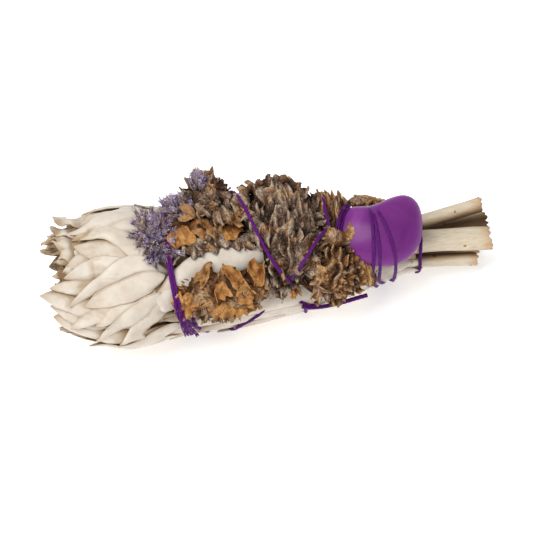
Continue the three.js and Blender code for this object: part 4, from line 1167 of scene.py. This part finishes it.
outline = np.array(STONE_OUTLINE)
outline_angles = np.arctan2(outline[:, 1], outline[:, 0])
outline_reach = np.hypot(outline[:, 0], outline[:, 1])
in_order = np.argsort(outline_angles)


def stone_reach(angle):
    """How far the outline is from the stone's middle, this way."""
    return np.interp(angle, outline_angles[in_order], outline_reach[in_order], period=2 * np.pi)


stone = bmesh.new()
bmesh.ops.create_uvsphere(stone, u_segments=96, v_segments=40, radius=1)
facing = math.radians(STONE_DEGREES)
outward = Vector((0, math.cos(facing), math.sin(facing)))
upward = Vector((0, math.sin(facing), -math.cos(facing)))
stone_out = bundle_radius(STONE_X) + LEAF_LAYER - STONE_SINK + STONE_THICK / 2
stone_middle = Vector(around(STONE_X, STONE_DEGREES, stone_out))
for vert in stone.verts:
    long_at, tall_at, deep_at = vert.co
    angle = math.atan2(tall_at, long_at)
    share = min(1, math.hypot(long_at, tall_at))
    reach = float(np.mean([stone_reach(angle + step) for step in (-0.1, -0.05, 0, 0.05, 0.1)]))
    mellow = STONE_REACH + (reach - STONE_REACH) * share ** 1.5
    deep = deep_at * STONE_THICK / 2 * (1 + 0.08 * long_at)
    far, tall = math.cos(angle) * mellow * share, math.sin(angle) * mellow * share
    in_notch = math.exp(-(((far + 1.7) / 2.6) ** 2) - ((tall - 6.5) / 3) ** 2)
    deep -= 0.5 * in_notch * (deep_at > 0)
    vert.co = (stone_middle + Vector((far, 0, 0)) + upward * tall + outward * deep) * MM
bmesh.ops.smooth_vert(stone, verts=stone.verts, factor=0.5, use_axis_x=True, use_axis_y=True, use_axis_z=True)
bmesh.ops.recalc_face_normals(stone, faces=stone.faces)

gem, tree, skin = new_finish("polished purple stone")
clouds = noisy(tree, place_on(tree), 90.0, 3.0, 0.5, distortion=0.8)
tint = ramp_of(tree, clouds, {0.3: "6a2474", 0.55: "7b3284", 0.8: "93509b"})
chips = wired(tree, "Group", {"node_tree": flecks}, Scale=520.0, Size=0.13, Share=0.07)
tree.links.new(blended(tree, chips.outputs["Mask"], tint, "c9a9dc"), skin.inputs["Base Color"])
skin.inputs["Roughness"].default_value = 0.36
skin.inputs["Specular IOR Level"].default_value = 0.16
skin.inputs["Subsurface Weight"].default_value = 0.55
skin.inputs["Subsurface Radius"].default_value = (0.6, 0.3, 0.9)
skin.inputs["Subsurface Scale"].default_value = 0.006
skin.inputs["Coat Weight"].default_value = 0.06
skin.inputs["Coat Roughness"].default_value = 0.12
finished(stone, "polished_stone", gem, "stone", ["tumbled_stone"])

# ------------------------------------------------------------------------------------------------------------
# The binding thread
# One long violet thread of four loosely twisted strands, wound by hand round the sprigs, flowers and stone,
# knotted at the lower front and frayed at its ends.
THREAD_RADIUS = 0.48
STRAND_RADIUS = 0.24
THREAD_ROUTE = [  # along the stick, degrees, and how deep under the flowers it is held there, if it is
    # up the far side, then down over the middle of the flowers
    [30, 202], [31, 270], [30, 330], [27, 385, 0.5], [22.9, 429, 2.5], [16.2, 460, 2.5], [14.2, 465, 1.5],
    [12.0, 470], [10.6, 473], [5.5, 486], [1.6, 498], [-0.2, 504, 1.8], [-4.0, 519, 2.4], [-5.2, 529, 0.6],
    [-6.6, 539], [-9.6, 550], [-12.4, 562], [-16, 600], [-21, 680], [-24, 740], [-25, 774],
    # twice round the leafy end
    [-27, 785], [-28.4, 810], [-30, 842], [-29.9, 865], [-29.2, 883], [-27, 902], [-25, 930], [-24, 990],
    [-23.6, 1050], [-24.0, 1110], [-24.6, 1134], [-26.5, 1147], [-27.9, 1170], [-29.3, 1202], [-29.1, 1225],
    [-28, 1243], [-25.2, 1263], [-22, 1285], [-17, 1330],
    # back across the middle, the other way
    [-13, 1390], [-10, 1450], [-8.4, 1516], [-7.6, 1536], [-5.4, 1558], [-1.8, 1577], [1.2, 1589],
    [2.4, 1597, 1.5], [3, 1605, 1.5], [4.5, 1622], [7, 1680], [10, 1750], [13, 1810],
    # down beside the stone
    [15, 1866], [13.6, 1890], [13.2, 1908], [13.8, 1921], [14.6, 1928, 1.5], [17, 1945, 2.5],
    [22, 1968, 1.5], [25.6, 2000], [27.5, 2060], [27.6, 2120], [27.4, 2190, 1.0],
    # three times over the stone, from its notch
    [26.4, 2225, 1.0], [25.9, 2238, 0.5], [25.4, 2250], [24.5, 2268], [23.4, 2286], [22.9, 2304],
    [23.2, 2325], [25.4, 2360], [28, 2410], [28.8, 2480], [28, 2550],
    [26.6, 2585, 1.0], [25.9, 2598, 0.5], [25.6, 2610], [25.3, 2625], [24.9, 2642], [24.7, 2662],
    [25.2, 2690], [28.2, 2730], [30.4, 2790], [30.2, 2850], [29.4, 2910],
    [27.0, 2945, 1.0], [26.0, 2958, 0.5], [25.9, 2970], [27.4, 2990], [28.6, 3010], [29.1, 3035],
    [29.4, 3060], [31.5, 3100], [34.5, 3140], [37, 3200], [39.5, 3260],
    # round the stems, where it ends
    [40.2, 3320], [39.4, 3345], [38.6, 3370], [38.2, 3395], [38.0, 3420], [37.8, 3440], [37.4, 3458],
]
THREAD_TAIL = [[4.2, 183], [6, 187], [10, 188], [14.6, 185], [18.2, 181], [21.4, 178]]
# Loose strands where the thread is frayed: at the lower end of its wraps round the leaves, at both ends of
# the tail and beside the stone.
FRAYED = [
    [[-30.2, 148], [-29.4, 158], [-28.6, 170], [-28, 178]],
    [[-29.6, 146], [-28.4, 160], [-26.6, 172], [-24.8, 182]],
    [[-29.8, 150], [-28.8, 166], [-27.4, 180], [-26.6, 186]],
    [[-25.2, 172], [-25, 178], [-24.4, 184]],
    [[8.5, 186], [6, 184], [4.2, 179], [3.2, 175]],
    [[8.5, 185], [6, 185], [4.4, 184], [3.6, 181]],
    [[19.4, 90], [17.2, 97], [15.6, 106], [14.9, 116]],
    [[20.4, 90], [18.2, 97], [16.5, 106], [15.7, 116]],
    [[22, 170], [22.8, 178], [23.4, 186]],
    [[24.6, 166], [25.0, 174], [24.8, 184]],
]
THREAD_STEP_DEG, THREAD_STEP = 6, 1.2  # from one point of its middle line to the next, at most
RAY_FROM = 45  # millimetres from the axis, outside everything
# How far it presses into each kind of piece, and the heads that it goes under.
PRESSES_IN = {"sage": 0.3, "stone": 0.0, "dried_flower": 0.0, "ochre_petal": 0.2, "lavender": 1.2}
GOES_UNDER = ["dried_flower_right", "dried_flower_by_stone"]
OVER_ALL = [(467, 520), (175, 201)]  # degrees of its first turn and of its tail where it lies on these too

depsgraph = bpy.context.evaluated_depsgraph_get()
laid_on = [(BVHTree.FromObject(piece, depsgraph), PRESSES_IN[slot], piece.name in GOES_UNDER)
           for piece, slot in made_pieces]


def reach_of_pieces(x, degrees):
    """How far out a thread's middle lies when it touches the made pieces here."""
    outside, middle = (Vector(around(x, degrees, r, -99)) * MM for r in (RAY_FROM, 0))
    way = (middle - outside).normalized()
    whole = (middle - outside).length
    reach = 0.0
    for tree, press, covers in laid_on:
        if covers and not any(start < degrees < end for start, end in OVER_ALL):
            continue
        hit = tree.ray_cast(outside, way)
        if hit[3] is not None:
            reach = max(reach, RAY_FROM * (1 - hit[3] / whole) + THREAD_RADIUS - press)
    return reach


def thread_line(route, slack=3.0):
    """The thread's middle line in millimetres, drawn in from slack until it's taut over what is under it."""
    route = [(*point, 0)[:3] for point in route]
    spots = []
    for start, end in zip(route, route[1:]):
        turns, runs = abs(end[1] - start[1]) / THREAD_STEP_DEG, abs(end[0] - start[0]) / THREAD_STEP
        count = max(1, round(turns), round(runs))
        spots += [[a + (b - a) * i / count for a, b in zip(start, end)] for i in range(count)]
    spots = np.array(spots + [route[-1]], float)
    held = spots[:, 2] > 0.3
    least = np.array([reach_of_pieces(x, degrees) for x, degrees, _ in spots]) - spots[:, 2]
    centre = around(spots[:, 0], spots[:, 1], 0)
    unit = np.linalg.norm(around(spots[:, 0], spots[:, 1], 1.0) - centre, axis=1)
    reach = least + slack
    for _ in range(900):
        placed = around(spots[:, 0], spots[:, 1], reach)
        between = (placed[:-2] + placed[2:]) / 2
        inner = np.linalg.norm(between - centre[1:-1], axis=1) / unit[1:-1]
        reach[1:-1] = np.where(held[1:-1], least[1:-1], np.maximum(least[1:-1], inner))
        reach[0], reach[-1] = max(least[0], reach[1]), max(least[-1], reach[-2])
    line = around(spots[:, 0], spots[:, 1], reach)
    for _ in range(2):  # the yarn is too stiff for sharp bends
        line[1:-1] = (line[:-2] + 2 * line[1:-1] + line[2:]) / 4
    line[:, 2] = np.maximum(line[:, 2], THREAD_RADIUS + 0.05)
    return line


def strands_along(curve, line, count=4, orbit=0.25, pitch=9.0, radius=1.0, phase=0.0):
    """Twists strands round a middle line: orbit is how far out each one runs, pitch the length of a turn."""
    steps = np.linalg.norm(np.diff(line, axis=0), axis=1)
    run = np.concatenate([[0], np.cumsum(steps)])
    at = np.arange(0, run[-1], 0.55)
    middle = np.stack([np.interp(at, run, line[:, i]) for i in range(3)], 1)
    along = np.gradient(middle, axis=0)
    along /= np.linalg.norm(along, axis=1, keepdims=True)
    axis = np.stack([middle[:, 0], 0 * at + MIDDLE[1], axis_height(middle[:, 0] - MIDDLE[0])], 1)
    out = middle - axis
    out -= along * np.sum(out * along, axis=1, keepdims=True)
    out /= np.linalg.norm(out, axis=1, keepdims=True)
    side = np.cross(along, out)
    for strand in range(count):
        turn = 2 * np.pi * (at / pitch + strand / count) + phase
        path = middle + (out * np.cos(turn)[:, None] * 0.75 + side * np.sin(turn)[:, None]) * orbit
        path[:, 2] = np.maximum(path[:, 2], STRAND_RADIUS * 0.9)
        spline = curve.splines.new("POLY")
        spline.points.add(len(path) - 1)
        flat = np.concatenate([path * MM, np.ones((len(path), 1))], 1)
        spline.points.foreach_set("co", flat.ravel())
        spline.points.foreach_set("radius", np.full(len(path), radius))


yarn = bpy.data.curves.new("violet_thread", "CURVE")
yarn.dimensions = "3D"
yarn.bevel_depth = STRAND_RADIUS * MM
yarn.bevel_resolution = 1
yarn.use_fill_caps = True
strands_along(yarn, thread_line(THREAD_ROUTE))
strands_along(yarn, thread_line(THREAD_TAIL), count=5, orbit=0.42, pitch=6.0)
for number, route in enumerate(FRAYED):
    frayed = thread_line(route, slack=0.1)
    strands_along(yarn, frayed, count=3, orbit=0.34, pitch=14.0, radius=0.75, phase=number)

dyed, tree, skin = new_finish("violet dyed thread")
lint = noisy(tree, place_on(tree), 3200.0, 4.0, 0.6)
dye = ramp_of(tree, lint, {0.3: "3e0850", 0.55: "5c1470", 0.8: "7c2a90"})
tree.links.new(dye, skin.inputs["Base Color"])
tree.links.new(bumped(tree, lint, 0.5, 0.0002), skin.inputs["Normal"])
skin.inputs["Roughness"].default_value = 0.6
skin.inputs["Specular IOR Level"].default_value = 0.2
yarn.materials.append(dyed)
thread = bpy.data.objects.new("violet_thread", yarn)
bpy.context.scene.collection.objects.link(thread)
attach(thread, "root")
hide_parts("binding_thread")

# ------------------------------------------------------------------------------------------------------------
# The box round everything that is shown
low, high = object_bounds()
